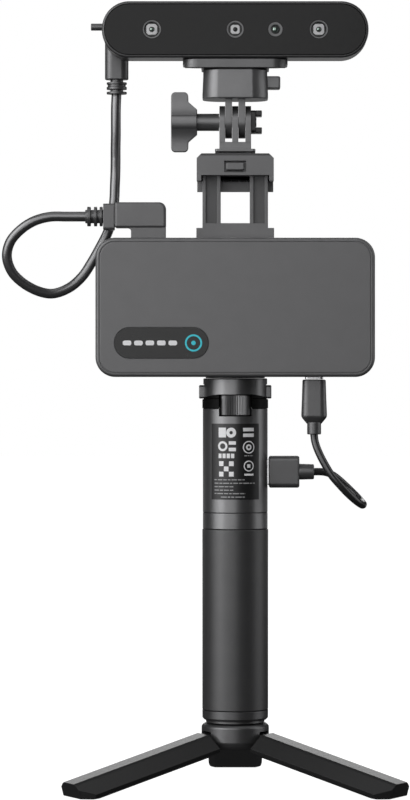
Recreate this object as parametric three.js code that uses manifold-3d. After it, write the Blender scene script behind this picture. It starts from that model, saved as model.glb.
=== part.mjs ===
// Handheld 3-D scanner on a battery handle with a phone clamp, a wireless bridge and a mini tripod.
// Millimetres, +X right, +Y away from the scanned object's side, +Z up.
// Inside this file x = y = 0 is the handle's axis and z = 0 is the surface that the feet rest on;
// the last lines slide the whole group so that the feet's box is centred on the origin.
import * as THREE from "three";
import { mergeVertices } from "three/addons/utils/BufferGeometryUtils.js";
import Module from "manifold-3d";

const wasm = await Module();
wasm.setup();

// ---- driving dimensions -------------------------------------------------------------------
const GAP = 0.3;                 // clearance between neighbouring solids
const WALL = 1.8;                // moulded wall thickness

const HEAD = { width: 122.2, bottom: 335.4, top: 361.3, front: -14, back: 10, corner: 12.4,
  frontEdge: 0.8, rearEdge: 4, panelDepth: 2.1 };
const LENS_Z = (HEAD.bottom + HEAD.top) / 2;
const LENSES = [
  { name: "ir_lens_left", x: -38.2, radius: 4.2 },
  { name: "projector_window", x: 0, radius: 3.9 },
  { name: "rgb_lens", x: 18.4, radius: 3.3 },
  { name: "ir_lens_right", x: 38.3, radius: 4.2 },
];

const LENS_BACK = 4.4;
const OPTICS = { half: 48, tall: 6, front: 4.8, back: 9 };
const HEAD_BOARD = { half: 50, tall: 8, front: 3.8, thickness: 1.6, chips: [-30, -6, 18, 36], chip: 5,
  chipFront: 2.2 };

// a USB-C plug's metal shell, and the opening and the connector that take it, as half sizes
const SHELL_C = { half: 4.15, thin: 1.3 };
const PORT_C = { half: 4.5, thin: 1.8 };
const CONNECTOR_C = { half: 4.3, thin: 1.6 };

const PLATE = { width: 48.2, depth: 26, bottom: 330.9, top: 335.1, chamfer: 4 };
const BLOCK = { width: 30.2, depth: 25.5, bottom: 317.0, top: 330.6 };
const RELEASE = { inner: 9.5, outer: 20.8, depth: 9, bottom: 321.9, top: 327.7, travel: 2 };

const TILT_Z = 306.7;            // height of the tilt axis
const PRONG_RADIUS = 7.5;
const FINGER = { inner: 1.65, outer: 4.45 };
const PRONGS = { middle: 1.42, inner: 4.72, outer: 7.3, slotFloor: 297.2, bottom: 293.9, flange: 9.3 };
const BOLT_RADIUS = 2.45;
const BORE_RADIUS = BOLT_RADIUS + GAP;
const KNOB = { boss: -7.5, bossRadius: 4, shoulder: -17.6, wingInner: -21.7, end: -29.6, wing: 27.6,
  waist: 12.5, corner: 1.4, thickness: 7, socketDepth: 6 };
const NUT = { inner: 6.7, outer: 8.8, flats: 8, lipInner: 2.6, lip: 5.2, end: 12.3, wallEnd: 9.4,
  wallHalf: 6, lipHalf: 5 };

const JAW = { half: 17.7, top: 291.8, frontBottom: 281.7, cheekBottom: 279.2, front: -11,
  back: 15.4, step: 2.6, chamfer: 2.2 };
const JAW_BUTTON = { half: 4.2, bottom: 283.9, top: 287.5, proud: 0.8, depth: 2.6, room: 0.8 };
const LIP = { overlap: 4.5, clearance: 0.3 };   // how far the jaws reach behind a phone
const PHONE = { front: 3.8, back: 11.8, bottom: 200.0, top: 279.7 };   // the space for a phone
const PAD = 1.6;                 // thickness of the jaws' rubber pads
const PAD_HALF = 16.4;
const RAIL = { inner: 6.7, outer: 15.1, front: -3.8, back: 1.8, bottom: 224, top: 286.6,
  groove: 1.4, innerRib: 1.8, outerRib: 1.6 };
const BRACKET = { half: 17.9, earTop: 257.7, plateHalf: 15.1, plateTop: 259.9, front: -6, back: 3.5,
  bottom: 189.3, pocketFloor: 203 };

const BRIDGE = { half: 63.7, bottom: 189.1, top: 252.6, front: -24.2, back: -6.2, corner: 9,
  cover: 5, frontEdge: 1.2, rearEdge: 1.6, frontWall: 2.6, rearWall: 2.4 };
const BRIDGE_Y = (BRIDGE.front + BRIDGE.back) / 2;
const BADGE = { left: -55.3, right: -11.9, bottom: 197.3, top: 211.9 };
const RING = { x: -19, z: 204.6, outer: 3.95, inner: 3.1 };

const BADGE_FACE = { corner: 7.2, proud: 0.2, back: 0.9 };
const BRIDGE_BOARD = { half: 52, behind: 2.2, thickness: 1.6, margin: 8 };

const PLUG = { left: -55.1, right: -31.7, bottom: 257.2, top: 268.9, legLeft: -47.6, capLeft: -60.3,
  portX: -39.8, depth: 5, corner: 2.8, notch: 1.2 };
const PLUG_Z = 262.5;
const RELIEF = { left: -68.7, neck: 3.3, rib: 4.5, ribWidth: 1.7, ribStarts: [0.2, 3.3, 6.2] };
const SCANNER_PLUG = { left: -60.7, right: -49.8, bottom: 327.5, top: 354, front: 10.6, back: 19,
  cordY: 15, corner: 2.6, reliefBottom: 320.8, relief: 6.6, ribRadius: 4.4,
  ribs: [[321, 323.6], [325, 326.2]] };
const SIDE_PIN = { radius: 1.65, end: -67.2, y: 13.5, z: 352 };

const HANDLE = { radius: 14.95, neckRadius: 15.2, discRadius: 13.65, discTop: 189.1,
  barrelTop: 174.5, barrelBottom: 126.6, gripTop: 119.0, gripBottom: 35.6, ringBottom: 31.0,
  grooveBottom: 29.9, grooveRadius: 13.5, bore: 12.6 };
const COLLAR = { radius: 14.75, inner: 9, top: 188.4, bottom: 181.1, skirtBottom: 179.2, skirtInner: 14.35,
  levelHalf: 6.5 };
const WHEEL = { radius: 7.2, notch: 7.5, y: -7.1, bottom: 171.3, top: 180.9 };
const LATCH = { bottom: 179.1, top: 185.3, inner: 13, outer: 16.7, width: 7, travel: 1.6 };
const LABEL = { bottom: 132.9, top: 167.7, halfAngle: 46, inner: 0.05, outer: 0.25 };
const BATTERY = { radius: 10.6, bottom: 46, top: 116, edge: 0.4 };
const POWER_BOARD = { half: 9, front: 4.5, thickness: 1.6, bottom: 128, top: 164 };
const BUTTON = { z: 150, radius: 3.4, outer: 15.7, inner: 12.9 };
const USB_C = { x: 36.1, shellBottom: 187.9, bodyBottom: 170.4, neckBottom: 162.8, y: BRIDGE_Y,
  topHalf: 5.4, bodyHalf: 5.9, neckHalf: 3.45, taper: 2.6, depth: 6.8 };
const USB_A = { z: 145.3, inner: 15.7, outer: 29.6, neckRadius: 3.5, neckEnd: 36.4, height: 14.7, depth: 8 };
const SHELL_A = { end: 8.4, tall: 6, thin: 2.25, room: 0.4 };

const STUD_RADIUS = 3.1;
// the hub's lower edge is rounded off so that the folding legs' roots clear it
const HUB = { radius: 15.55, top: 29.3, bottom: 17.9, edge: [[13.7, 17.9], [14.9, 19.4], [15.55, 21.2]] };
// start and length are measured along the leg from its pivot
const LEG = { slope: 15, pivotR: 10.5, pivotZ: 22.2, start: 5.6, length: 77.5, footR: 76, width: 26,
  sole: 19.6, crown: 11, height: 9, tongue: 7, tongueHeight: 7.2, tongueEnd: 8.5, tipTaper: 6, tipHalf: 8.5 };
const HUB_SLOT = { inner: 6.3, outer: 20, top: 26.15 };
const PIN = { radius: 1.25, half: 7, boreHalf: 8 };

const CORD_DIAMETER = 4.6;
const POWER_CORD_DIAMETER = 3.5;
// the scanner's cord: from the plug behind the head, down in front of the phone, out and round
const SCANNER_CORD_UPPER = [
  [-55.4, 15, 320.3], [-55.6, 14.2, 315], [-55.6, 12.4, 308.8], [-55.5, 9.8, 302], [-55.5, 6.4, 295],
  [-55.4, 3.3, 289],
];
const SCANNER_CORD_LOWER = [
  [-55.4, 3, 288.5], [-55.4, 0.8, 283.2], [-55.6, -0.7, 277], [-55.8, -1.2, 271.3],
  [-56.8, -1.5, 262.8], [-58.6, -1.5, 256.4],
  [-63.1, -1.6, 247.5], [-66.2, -1.8, 242], [-70.5, -2.4, 235.5], [-76.4, -3.4, 230.3],
  [-83.8, -5, 227.5], [-89.8, -6.6, 228.3], [-97.1, -8.7, 232], [-102.5, -10.7, 237.4],
  [-104.7, -12.3, 244.2], [-103.1, -13.6, 250.9], [-98.5, -14.6, 256.3], [-92.2, -15.1, 260.4],
  [-84.9, -15.2, 262.4], [-77, -15.2, 262.5], [-69, -15.2, 262.5],
];
// the power lead: out of the bridge's underside, forward, round and back into the handle's side
const POWER_CORD = [
  [36.1, -15.2, 162.5], [36.4, -15.4, 160], [37.4, -16.2, 156.6], [39.2, -17, 152.5],
  [41.4, -17.8, 148.4], [44.2, -18.4, 143.9], [47.8, -18.4, 139.7], [52, -17, 135.3],
  [55.7, -14.2, 132.1], [58.1, -9.8, 130.4], [58.9, -4.8, 130.4], [58.3, 0.2, 131.3],
  [56.7, 3.6, 133.2], [54, 5.4, 135.9], [50.8, 5.8, 139], [48, 5.2, 141.5], [45.2, 3.9, 143.6],
  [42, 2, 144.9], [39.2, 0.6, 145.3], [36.8, 0, 145.3],
];

// ---- finishes -----------------------------------------------------------------------------
const finish = (color, roughness, metalness) =>
  new THREE.MeshStandardMaterial({ color, roughness, metalness });
const SHELL = () => finish(0x3c3c3d, 0.55, 0.1);
const PANEL = () => finish(0x303031, 0.35, 0.0);
const CASE = () => finish(0x58585a, 0.5, 0.35);
const MOULDED = () => finish(0x2a2a2b, 0.6, 0.0);
const RUBBER = () => finish(0x161617, 0.85, 0.0);
const SATIN = () => finish(0x6b6b6d, 0.38, 0.8);
const STEEL = () => finish(0xb4b4b6, 0.3, 1.0);
const GLASS = () => finish(0x9aa4a2, 0.08, 0.0);
const BOARD = () => finish(0x1d5a36, 0.5, 0.0);
const LIGHT = () => finish(0x2fb6c4, 0.4, 0.0);

// ---- shape helpers ------------------------------------------------------------------------
function solid(geometry) {
  const flat = geometry.index ? geometry.toNonIndexed() : geometry;
  const bare = new THREE.BufferGeometry().setAttribute("position", flat.getAttribute("position"));
  const merged = mergeVertices(bare, 1e-4);
  return new wasm.Manifold(new wasm.Mesh({
    numProp: 3,
    vertProperties: merged.attributes.position.array,
    triVerts: new Uint32Array(merged.index.array),
  }));
}

function geometryOf(manifold) {
  const mesh = manifold.getMesh();
  const geometry = new THREE.BufferGeometry();
  geometry.setAttribute("position", new THREE.BufferAttribute(new Float32Array(mesh.vertProperties), 3));
  geometry.setIndex(new THREE.BufferAttribute(new Uint32Array(mesh.triVerts), 1));
  return geometry;
}

function cut(geometry, ...tools) {
  return geometryOf(tools.reduce((left, tool) => left.subtract(solid(tool)), solid(geometry)));
}

function join(geometry, ...others) {
  return geometryOf(others.reduce((left, other) => left.add(solid(other)), solid(geometry)));
}

function box(x0, x1, y0, y1, z0, z1) {
  return new THREE.BoxGeometry(x1 - x0, y1 - y0, z1 - z0)
    .translate((x0 + x1) / 2, (y0 + y1) / 2, (z0 + z1) / 2);
}

// a polygon in the x-z plane, carried along y
function prismY(points, y0, y1) {
  const shape = new THREE.Shape(points.map(([x, z]) => new THREE.Vector2(x, z)));
  return new THREE.ExtrudeGeometry(shape, { depth: y1 - y0, bevelEnabled: false })
    .rotateX(Math.PI / 2).translate(0, y1, 0);
}

// a polygon in the y-z plane, carried along x
function prismX(points, x0, x1) {
  const shape = new THREE.Shape(points.map(([y, z]) => new THREE.Vector2(y, z)));
  return new THREE.ExtrudeGeometry(shape, { depth: x1 - x0, bevelEnabled: false })
    .applyMatrix4(new THREE.Matrix4().makeBasis(
      new THREE.Vector3(0, 1, 0), new THREE.Vector3(0, 0, 1), new THREE.Vector3(1, 0, 0)))
    .translate(x0, 0, 0);
}

// a polygon in the x-y plane, carried up z
function prismZ(points, z0, z1) {
  const shape = new THREE.Shape(points.map(([x, y]) => new THREE.Vector2(x, y)));
  return new THREE.ExtrudeGeometry(shape, { depth: z1 - z0, bevelEnabled: false }).translate(0, 0, z0);
}

function roundedRectangle(left, right, bottom, top, radius, steps = 5) {
  const corners = [
    [right - radius, bottom + radius, -90], [right - radius, top - radius, 0],
    [left + radius, top - radius, 90], [left + radius, bottom + radius, 180],
  ];
  return corners.flatMap(([x, y, from]) => Array.from({ length: steps + 1 }, (_, i) => {
    const angle = THREE.MathUtils.degToRad(from + 90 * i / steps);
    return [x + radius * Math.cos(angle), y + radius * Math.sin(angle)];
  }));
}

// a rounded box with its front and back edges softened: the outline shrinks in steps along y
function softCase(left, right, bottom, top, front, back, corner, frontEdge, backEdge) {
  const slab = (inset, y0, y1) => prismY(roundedRectangle(
    left + inset, right - inset, bottom + inset, top - inset, corner - inset), y0, y1);
  const layers = [slab(0, front + frontEdge, back - backEdge)];
  if (frontEdge > 0) layers.push(slab(frontEdge * 0.4, front, front + frontEdge));
  layers.push(slab(backEdge * 0.35, back - backEdge, back - backEdge * 0.4));
  layers.push(slab(backEdge * 0.9, back - backEdge * 0.4, back));
  return join(...layers);
}

// a solid of revolution about the vertical axis; outline points are [radius, z]
function turned(outline, sides = 36) {
  return new THREE.LatheGeometry(outline.map(([r, z]) => new THREE.Vector2(r, z)), sides)
    .rotateX(Math.PI / 2);
}

function tubeZ(inner, outer, z0, z1, chamfer = 0.5, sides = 36) {
  return turned([
    [inner, z0], [outer - chamfer, z0], [outer, z0 + chamfer],
    [outer, z1 - chamfer], [outer - chamfer, z1], [inner, z1], [inner, z0],
  ], sides);
}

function cylinderZ(radius, z0, z1, sides = 24) {
  return turned([[0, z0], [radius, z0], [radius, z1], [0, z1]], sides);
}

function cylinderX(radius, x0, x1, y, z, sides = 20) {
  return cylinderZ(radius, x0, x1, sides).rotateY(Math.PI / 2).translate(0, y, z);
}

function cylinderY(radius, y0, y1, x, z, sides = 20) {
  return cylinderZ(radius, -y1, -y0, sides).rotateX(Math.PI / 2).translate(x, 0, z);
}

function cord(points, diameter, spacing) {
  const curve = new THREE.CatmullRomCurve3(points.map((p) => new THREE.Vector3(...p)), false, "centripetal");
  const steps = Math.max(4, Math.round(curve.getLength() / spacing));
  const section = new THREE.Shape(Array.from({ length: 8 }, (_, i) => {
    const angle = i * Math.PI / 4;
    return new THREE.Vector2(Math.cos(angle) * diameter / 2, Math.sin(angle) * diameter / 2);
  }));
  return new THREE.ExtrudeGeometry(section, { steps, extrudePath: curve, bevelEnabled: false });
}

const scanner = new THREE.Group();
function add(name, geometry, material, parent = scanner) {
  const mesh = new THREE.Mesh(geometry, material);
  mesh.name = name;
  parent.add(mesh);
  return mesh;
}

// ---- scanner head -------------------------------------------------------------------------
function buildHead() {
  const half = HEAD.width / 2;
  const outer = softCase(-half, half, HEAD.bottom, HEAD.top, HEAD.front, HEAD.back, HEAD.corner,
    HEAD.frontEdge, HEAD.rearEdge);
  const hollow = prismY(roundedRectangle(-half + WALL, half - WALL, HEAD.bottom + WALL, HEAD.top - WALL,
    HEAD.corner - WALL), HEAD.front - 1, HEAD.back - HEAD.rearEdge);
  const socketX = (SCANNER_PLUG.left + SCANNER_PLUG.right) / 2;
  const socket = box(socketX - PORT_C.half, socketX + PORT_C.half, HEAD.back - 6, HEAD.back + 1,
    LENS_Z - PORT_C.thin, LENS_Z + PORT_C.thin);
  const screwHole = cylinderZ(STUD_RADIUS + GAP, HEAD.bottom - 1, HEAD.bottom + WALL + 1);
  add("head_shell", cut(outer, hollow, socket, screwHole), SHELL());

  const inset = WALL + GAP;
  const panel = prismY(roundedRectangle(-half + inset, half - inset, HEAD.bottom + inset, HEAD.top - inset,
    HEAD.corner - inset), HEAD.front + GAP, HEAD.front + HEAD.panelDepth);
  const holes = LENSES.map((lens) => (
    cylinderY(lens.radius + GAP / 2, HEAD.front - 1, HEAD.front + 3, lens.x, LENS_Z)));
  add("head_front_panel", cut(panel, ...holes), PANEL());
  for (const lens of LENSES) {
    add(lens.name, cylinderY(lens.radius, HEAD.front + 0.5, HEAD.front + LENS_BACK, lens.x, LENS_Z), GLASS());
  }
  add("optics_rail", box(-OPTICS.half, OPTICS.half, HEAD.front + OPTICS.front, HEAD.front + OPTICS.back,
    LENS_Z - OPTICS.tall, LENS_Z + OPTICS.tall), STEEL());
  const { front, thickness, chip, chipFront, chips, tall } = HEAD_BOARD;
  const board = join(
    box(-HEAD_BOARD.half, HEAD_BOARD.half, front, front + thickness, LENS_Z - tall, LENS_Z + tall),
    ...chips.map((x) => box(x - chip, x + chip, chipFront, front + 0.2, LENS_Z - chip, LENS_Z + chip)));
  add("head_circuit_board", board, BOARD());
}

function buildScannerPlug() {
  const x = (SCANNER_PLUG.left + SCANNER_PLUG.right) / 2;
  const y = SCANNER_PLUG.cordY;
  const body = prismY(roundedRectangle(SCANNER_PLUG.left, SCANNER_PLUG.right, SCANNER_PLUG.bottom,
    SCANNER_PLUG.top, SCANNER_PLUG.corner, 3), SCANNER_PLUG.front, SCANNER_PLUG.back);
  const tongue = box(x - SHELL_C.half, x + SHELL_C.half, HEAD.back - 4, SCANNER_PLUG.front + 1,
    LENS_Z - SHELL_C.thin, LENS_Z + SHELL_C.thin);
  const relief = cord([[x, y, SCANNER_PLUG.reliefBottom], [x, y, SCANNER_PLUG.bottom + 1]],
    SCANNER_PLUG.relief, 3);
  const ribs = SCANNER_PLUG.ribs.map(([z0, z1]) => (
    cylinderZ(SCANNER_PLUG.ribRadius, z0, z1, 16).translate(x, y, 0)));
  const sidePin = cylinderX(SIDE_PIN.radius, SIDE_PIN.end, SCANNER_PLUG.left + 1, SIDE_PIN.y, SIDE_PIN.z, 12);
  add("scanner_plug", join(body, tongue, relief, ...ribs, sidePin), RUBBER());
}

// ---- quick release and tilt joint ------------------------------------------------------------
function tongueOutline(bottomZ, topZ) {
  const arc = Array.from({ length: 9 }, (_, i) => {
    const angle = Math.PI * i / 8;
    return [PRONG_RADIUS * Math.cos(angle), PRONG_RADIUS * Math.sin(angle)];
  });
  return bottomZ === null
    ? [...arc.map(([y, z]) => [y, TILT_Z - z]).reverse(), [PRONG_RADIUS, topZ], [-PRONG_RADIUS, topZ]]
    : [[-PRONG_RADIUS, bottomZ], [PRONG_RADIUS, bottomZ], ...arc.map(([y, z]) => [y, TILT_Z + z])];
}

function buildQuickRelease() {
  const half = PLATE.width / 2;
  const depth = PLATE.depth / 2;
  const c = PLATE.chamfer;
  const outline = [[-half, -depth + c], [-half + c, -depth], [half - c, -depth], [half, -depth + c],
    [half, depth - c], [half - c, depth], [-half + c, depth], [-half, depth - c]];
  const screwHole = cylinderZ(STUD_RADIUS + GAP, PLATE.bottom - 1, PLATE.top + 1);
  add("quick_release_plate", cut(prismZ(outline, PLATE.bottom, PLATE.top), screwHole), SHELL());
  add("head_screw", cylinderZ(STUD_RADIUS, PLATE.bottom + 0.4, HEAD.bottom + 5, 16), STEEL());

  const body = prismZ(roundedRectangle(-BLOCK.width / 2, BLOCK.width / 2, -BLOCK.depth / 2,
    BLOCK.depth / 2, 5, 4), BLOCK.bottom, BLOCK.top);
  const fingers = [-1, 1].map((side) => {
    const [x0, x1] = side > 0 ? [FINGER.inner, FINGER.outer] : [-FINGER.outer, -FINGER.inner];
    return prismX(tongueOutline(null, BLOCK.bottom + 1), x0, x1);
  });
  const pocket = box(RELEASE.inner - RELEASE.travel - GAP, RELEASE.outer, -RELEASE.depth / 2 - GAP,
    RELEASE.depth / 2 + GAP, RELEASE.bottom - GAP, RELEASE.top + GAP);
  const bore = cylinderX(BORE_RADIUS, -10, 10, 0, TILT_Z);
  add("mount_block", cut(join(body, ...fingers), pocket, bore), SHELL());
  add("release_button", box(RELEASE.inner, RELEASE.outer, -RELEASE.depth / 2, RELEASE.depth / 2,
    RELEASE.bottom, RELEASE.top), MOULDED());
}

function buildTiltBase() {
  const { inner, middle, outer, flange: reach } = PRONGS;
  const prongs = [[-outer, -inner], [-middle, middle], [inner, outer]]
    .map(([x0, x1]) => prismX(tongueOutline(PRONGS.slotFloor - 1, 0), x0, x1));
  const base = box(-outer, outer, -PRONG_RADIUS, PRONG_RADIUS, PRONGS.bottom, PRONGS.slotFloor);
  const flange = box(-reach, reach, -reach, reach, JAW.top + 0.9, PRONGS.bottom + 0.01);
  const nutWall = box(outer - 0.5, NUT.wallEnd, -NUT.wallHalf, NUT.wallHalf, TILT_Z - NUT.lip,
    TILT_Z + NUT.lip);
  const lips = [-1, 1].map((side) => box(NUT.wallEnd - 0.5, NUT.end, -NUT.lipHalf, NUT.lipHalf,
    TILT_Z + (side > 0 ? NUT.lipInner : -NUT.lip), TILT_Z + (side > 0 ? NUT.lip : -NUT.lipInner)));
  const bore = cylinderX(BORE_RADIUS, -12, 14, 0, TILT_Z);
  const hexagon = (flats) => Array.from({ length: 6 }, (_, i) => {
    const angle = Math.PI / 3 * i;
    const r = flats / 2 / Math.cos(Math.PI / 6);
    return [r * Math.cos(angle), TILT_Z + r * Math.sin(angle)];
  });
  const nutPocket = prismX(hexagon(NUT.flats + 2 * GAP), NUT.inner - GAP, NUT.outer + GAP);
  add("tilt_base", cut(join(base, flange, ...prongs, nutWall, ...lips), bore, nutPocket), MOULDED());
  add("tilt_nut", cut(prismX(hexagon(NUT.flats), NUT.inner, NUT.outer), bore), STEEL());
}

function buildThumbscrew() {
  const boss = cylinderX(KNOB.bossRadius, KNOB.shoulder - 1, KNOB.boss, 0, TILT_Z, 20);
  const w = KNOB.wing / 2;
  const n = KNOB.waist / 2;
  const c = KNOB.corner;
  const upper = [[KNOB.shoulder, n], [KNOB.wingInner, w - c], [KNOB.wingInner - c, w], [KNOB.end + c, w],
    [KNOB.end, w - c]];
  const outline = [...upper, ...upper.map(([x, z]) => [x, -z]).reverse()];
  const wings = prismY(outline.map(([x, z]) => [x, z + TILT_Z]), -KNOB.thickness / 2, KNOB.thickness / 2);
  const core = cylinderX(n, KNOB.end + 0.6, KNOB.shoulder - 0.2, 0, TILT_Z, 20);
  const socket = cylinderX(BORE_RADIUS, KNOB.shoulder - KNOB.socketDepth, KNOB.boss + 1, 0, TILT_Z, 16);
  add("thumbscrew_knob", cut(join(wings, core, boss), socket), MOULDED());
  const boltStart = KNOB.shoulder - KNOB.socketDepth + 0.4;
  add("thumbscrew_bolt", cylinderX(BOLT_RADIUS, boltStart, NUT.wallEnd + 0.4, 0, TILT_Z, 16), STEEL());
}

// ---- phone clamp --------------------------------------------------------------------------
function buildUpperJaw() {
  const { chamfer } = JAW;
  const lipBottom = PHONE.top - LIP.overlap;
  const lipFront = PHONE.back + LIP.clearance;
  const roof = JAW.cheekBottom + PAD + 1;
  const profile = [[JAW.front, JAW.frontBottom], [JAW.step, JAW.frontBottom], [JAW.step, roof],
    [lipFront, roof], [lipFront, lipBottom], [JAW.back, lipBottom],
    [JAW.back, JAW.top - chamfer], [JAW.back - chamfer, JAW.top], [JAW.front + chamfer / 2, JAW.top],
    [JAW.front, JAW.top - chamfer / 2]];
  const block = prismX(profile, -JAW.half, JAW.half);
  const cheeks = [-1, 1].map((side) => {
    const [x0, x1] = side > 0 ? [RAIL.outer + 0.5, JAW.half] : [-JAW.half, -RAIL.outer - 0.5];
    return box(x0, x1, JAW.front, JAW.step, JAW.cheekBottom, JAW.frontBottom + 1);
  });
  const corners = [-1, 1].map((side) => prismY([[side * JAW.half, JAW.top - chamfer],
    [side * (JAW.half + 1), JAW.top + 1], [side * (JAW.half - chamfer), JAW.top]],
    JAW.front - 1, JAW.back + 1));
  const sockets = [-1, 1].map((side) => {
    const [x0, x1] = side > 0 ? [RAIL.inner - GAP, RAIL.outer + GAP] : [-RAIL.outer - GAP, -RAIL.inner + GAP];
    return box(x0, x1, RAIL.front - GAP, RAIL.back + GAP, JAW.cheekBottom - 1, RAIL.top + GAP);
  });
  const { half, bottom, top, proud, depth, room } = JAW_BUTTON;
  const buttonPocket = box(-half - room, half + room, JAW.front - 1, JAW.front + depth + 1.8,
    bottom - room, top + room);
  add("upper_jaw", cut(join(block, ...cheeks), ...corners, ...sockets, buttonPocket), SHELL());
  add("upper_jaw_pad", box(-PAD_HALF, PAD_HALF, PHONE.front, PHONE.back, PHONE.top + 0.2,
    PHONE.top + 0.2 + PAD - GAP), RUBBER());
  add("jaw_button", box(-half, half, JAW.front - proud, JAW.front + depth, bottom, top), MOULDED());
}

function buildRails() {
  for (const [name, side] of [["rail_left", -1], ["rail_right", 1]]) {
    const ordered = (a, b) => (side > 0 ? [a, b] : [-b, -a]);
    const [x0, x1] = ordered(RAIL.inner, RAIL.outer);
    const [g0, g1] = ordered(RAIL.inner + RAIL.innerRib, RAIL.outer - RAIL.outerRib);
    const rail = box(x0, x1, RAIL.front, RAIL.back, RAIL.bottom, RAIL.top);
    const groove = box(g0, g1, RAIL.front - 1, RAIL.front + RAIL.groove, RAIL.bottom + 3, RAIL.top + 1);
    add(name, cut(rail, groove), SHELL());
  }
}

function buildBracket() {
  const body = box(-BRACKET.half, BRACKET.half, BRACKET.front, BRACKET.back, BRACKET.bottom + 8,
    BRACKET.earTop);
  const plate = box(-BRACKET.plateHalf, BRACKET.plateHalf, BRACKET.front, RAIL.front - GAP,
    BRACKET.bottom + 8, BRACKET.plateTop);
  const seat = PHONE.bottom - PAD - 0.2;
  const lipFront = PHONE.back + LIP.clearance;
  const lipTop = PHONE.bottom + LIP.overlap;
  const foot = prismX([[BRACKET.front, BRACKET.bottom], [JAW.back - 4.4, BRACKET.bottom],
    [JAW.back, BRACKET.bottom + 4], [JAW.back, lipTop], [lipFront, lipTop],
    [lipFront, seat], [BRACKET.back - 0.5, seat],
    [BRACKET.back - 0.5, PHONE.bottom + 2], [BRACKET.front, PHONE.bottom + 2]], -BRACKET.half, BRACKET.half);
  const pockets = [-1, 1].map((side) => {
    const [x0, x1] = side > 0 ? [RAIL.inner - GAP, RAIL.outer + GAP] : [-RAIL.outer - GAP, -RAIL.inner + GAP];
    return box(x0, x1, RAIL.front - GAP, RAIL.back + GAP, BRACKET.pocketFloor, BRACKET.plateTop + 1);
  });
  const screwHole = cylinderZ(STUD_RADIUS + GAP, BRACKET.bottom - 1, BRACKET.bottom + 7);
  add("clamp_bracket", cut(join(body, plate, foot), ...pockets, screwHole), SHELL());
  add("lower_jaw_pad", box(-PAD_HALF, PAD_HALF, PHONE.front, PHONE.back, PHONE.bottom - PAD,
    PHONE.bottom - 0.2), RUBBER());
}

// ---- wireless bridge ----------------------------------------------------------------------
function buildBridge() {
  const split = BRIDGE.front + BRIDGE.cover;
  const outer = softCase(-BRIDGE.half, BRIDGE.half, BRIDGE.bottom, BRIDGE.top, split + GAP, BRIDGE.back,
    BRIDGE.corner, 0, BRIDGE.rearEdge);
  const hollow = prismY(roundedRectangle(-BRIDGE.half + WALL, BRIDGE.half - WALL, BRIDGE.bottom + WALL,
    BRIDGE.top - WALL, BRIDGE.corner - WALL), split - 1, BRIDGE.back - BRIDGE.rearWall);
  const port = (x, z0, z1) => box(x - PORT_C.half, x + PORT_C.half, BRIDGE_Y - PORT_C.thin,
    BRIDGE_Y + PORT_C.thin, z0, z1);
  const ports = [port(PLUG.portX, BRIDGE.top - 4, BRIDGE.top + 1),
    port(USB_C.x, BRIDGE.bottom - 1, BRIDGE.bottom + 4)];
  add("bridge_back_shell", cut(outer, hollow, ...ports), CASE());

  const edge = BRIDGE.frontEdge;
  const frontSlab = prismY(roundedRectangle(-BRIDGE.half, BRIDGE.half, BRIDGE.bottom, BRIDGE.top,
    BRIDGE.corner), BRIDGE.front + edge, split);
  const face = prismY(roundedRectangle(-BRIDGE.half + edge, BRIDGE.half - edge, BRIDGE.bottom + edge,
    BRIDGE.top - edge, BRIDGE.corner - edge), BRIDGE.front, BRIDGE.front + edge + 0.1);
  const inside = prismY(roundedRectangle(-BRIDGE.half + WALL + 1, BRIDGE.half - WALL - 1,
    BRIDGE.bottom + WALL + 1, BRIDGE.top - WALL - 1, BRIDGE.corner - WALL),
  BRIDGE.front + BRIDGE.frontWall, split + 1);
  const badgePocket = prismY(roundedRectangle(BADGE.left, BADGE.right, BADGE.bottom, BADGE.top,
    BADGE_FACE.corner), BRIDGE.front - 1, BRIDGE.front + 1);
  add("bridge_front_cover", cut(join(frontSlab, face), inside, badgePocket), CASE());

  const badgeBack = BRIDGE.front + BADGE_FACE.back;
  const badge = prismY(roundedRectangle(BADGE.left + GAP, BADGE.right - GAP, BADGE.bottom + GAP,
    BADGE.top - GAP, BADGE_FACE.corner - GAP), BRIDGE.front + BADGE_FACE.proud, badgeBack);
  const ringHole = cylinderY(RING.outer + GAP / 2, BRIDGE.front - 1, BRIDGE.front + 2, RING.x, RING.z, 28);
  add("bridge_badge", cut(badge, ringHole), PANEL());
  const ring = cut(cylinderY(RING.outer, BRIDGE.front + 0.1, badgeBack, RING.x, RING.z, 28),
    cylinderY(RING.inner, BRIDGE.front - 1, BRIDGE.front + 2, RING.x, RING.z, 28));
  add("status_ring", ring, LIGHT());

  const { half: boardHalf, behind, thickness, margin } = BRIDGE_BOARD;
  const boardY = BRIDGE_Y + behind;
  const connector = (x, z0, z1) => box(x - CONNECTOR_C.half, x + CONNECTOR_C.half,
    BRIDGE_Y - CONNECTOR_C.thin, boardY + 0.5, z0, z1);
  const board = join(
    box(-boardHalf, boardHalf, boardY, boardY + thickness, BRIDGE.bottom + margin, BRIDGE.top - margin),
    connector(PLUG.portX, BRIDGE.top - 12, BRIDGE.top - 7),
    connector(USB_C.x, BRIDGE.bottom + 6, BRIDGE.bottom + 11),
    box(-12, 6, boardY - 2, boardY + 0.5, BRIDGE.bottom + 25, BRIDGE.bottom + 43));
  add("bridge_circuit_board", board, BOARD());
}

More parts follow.
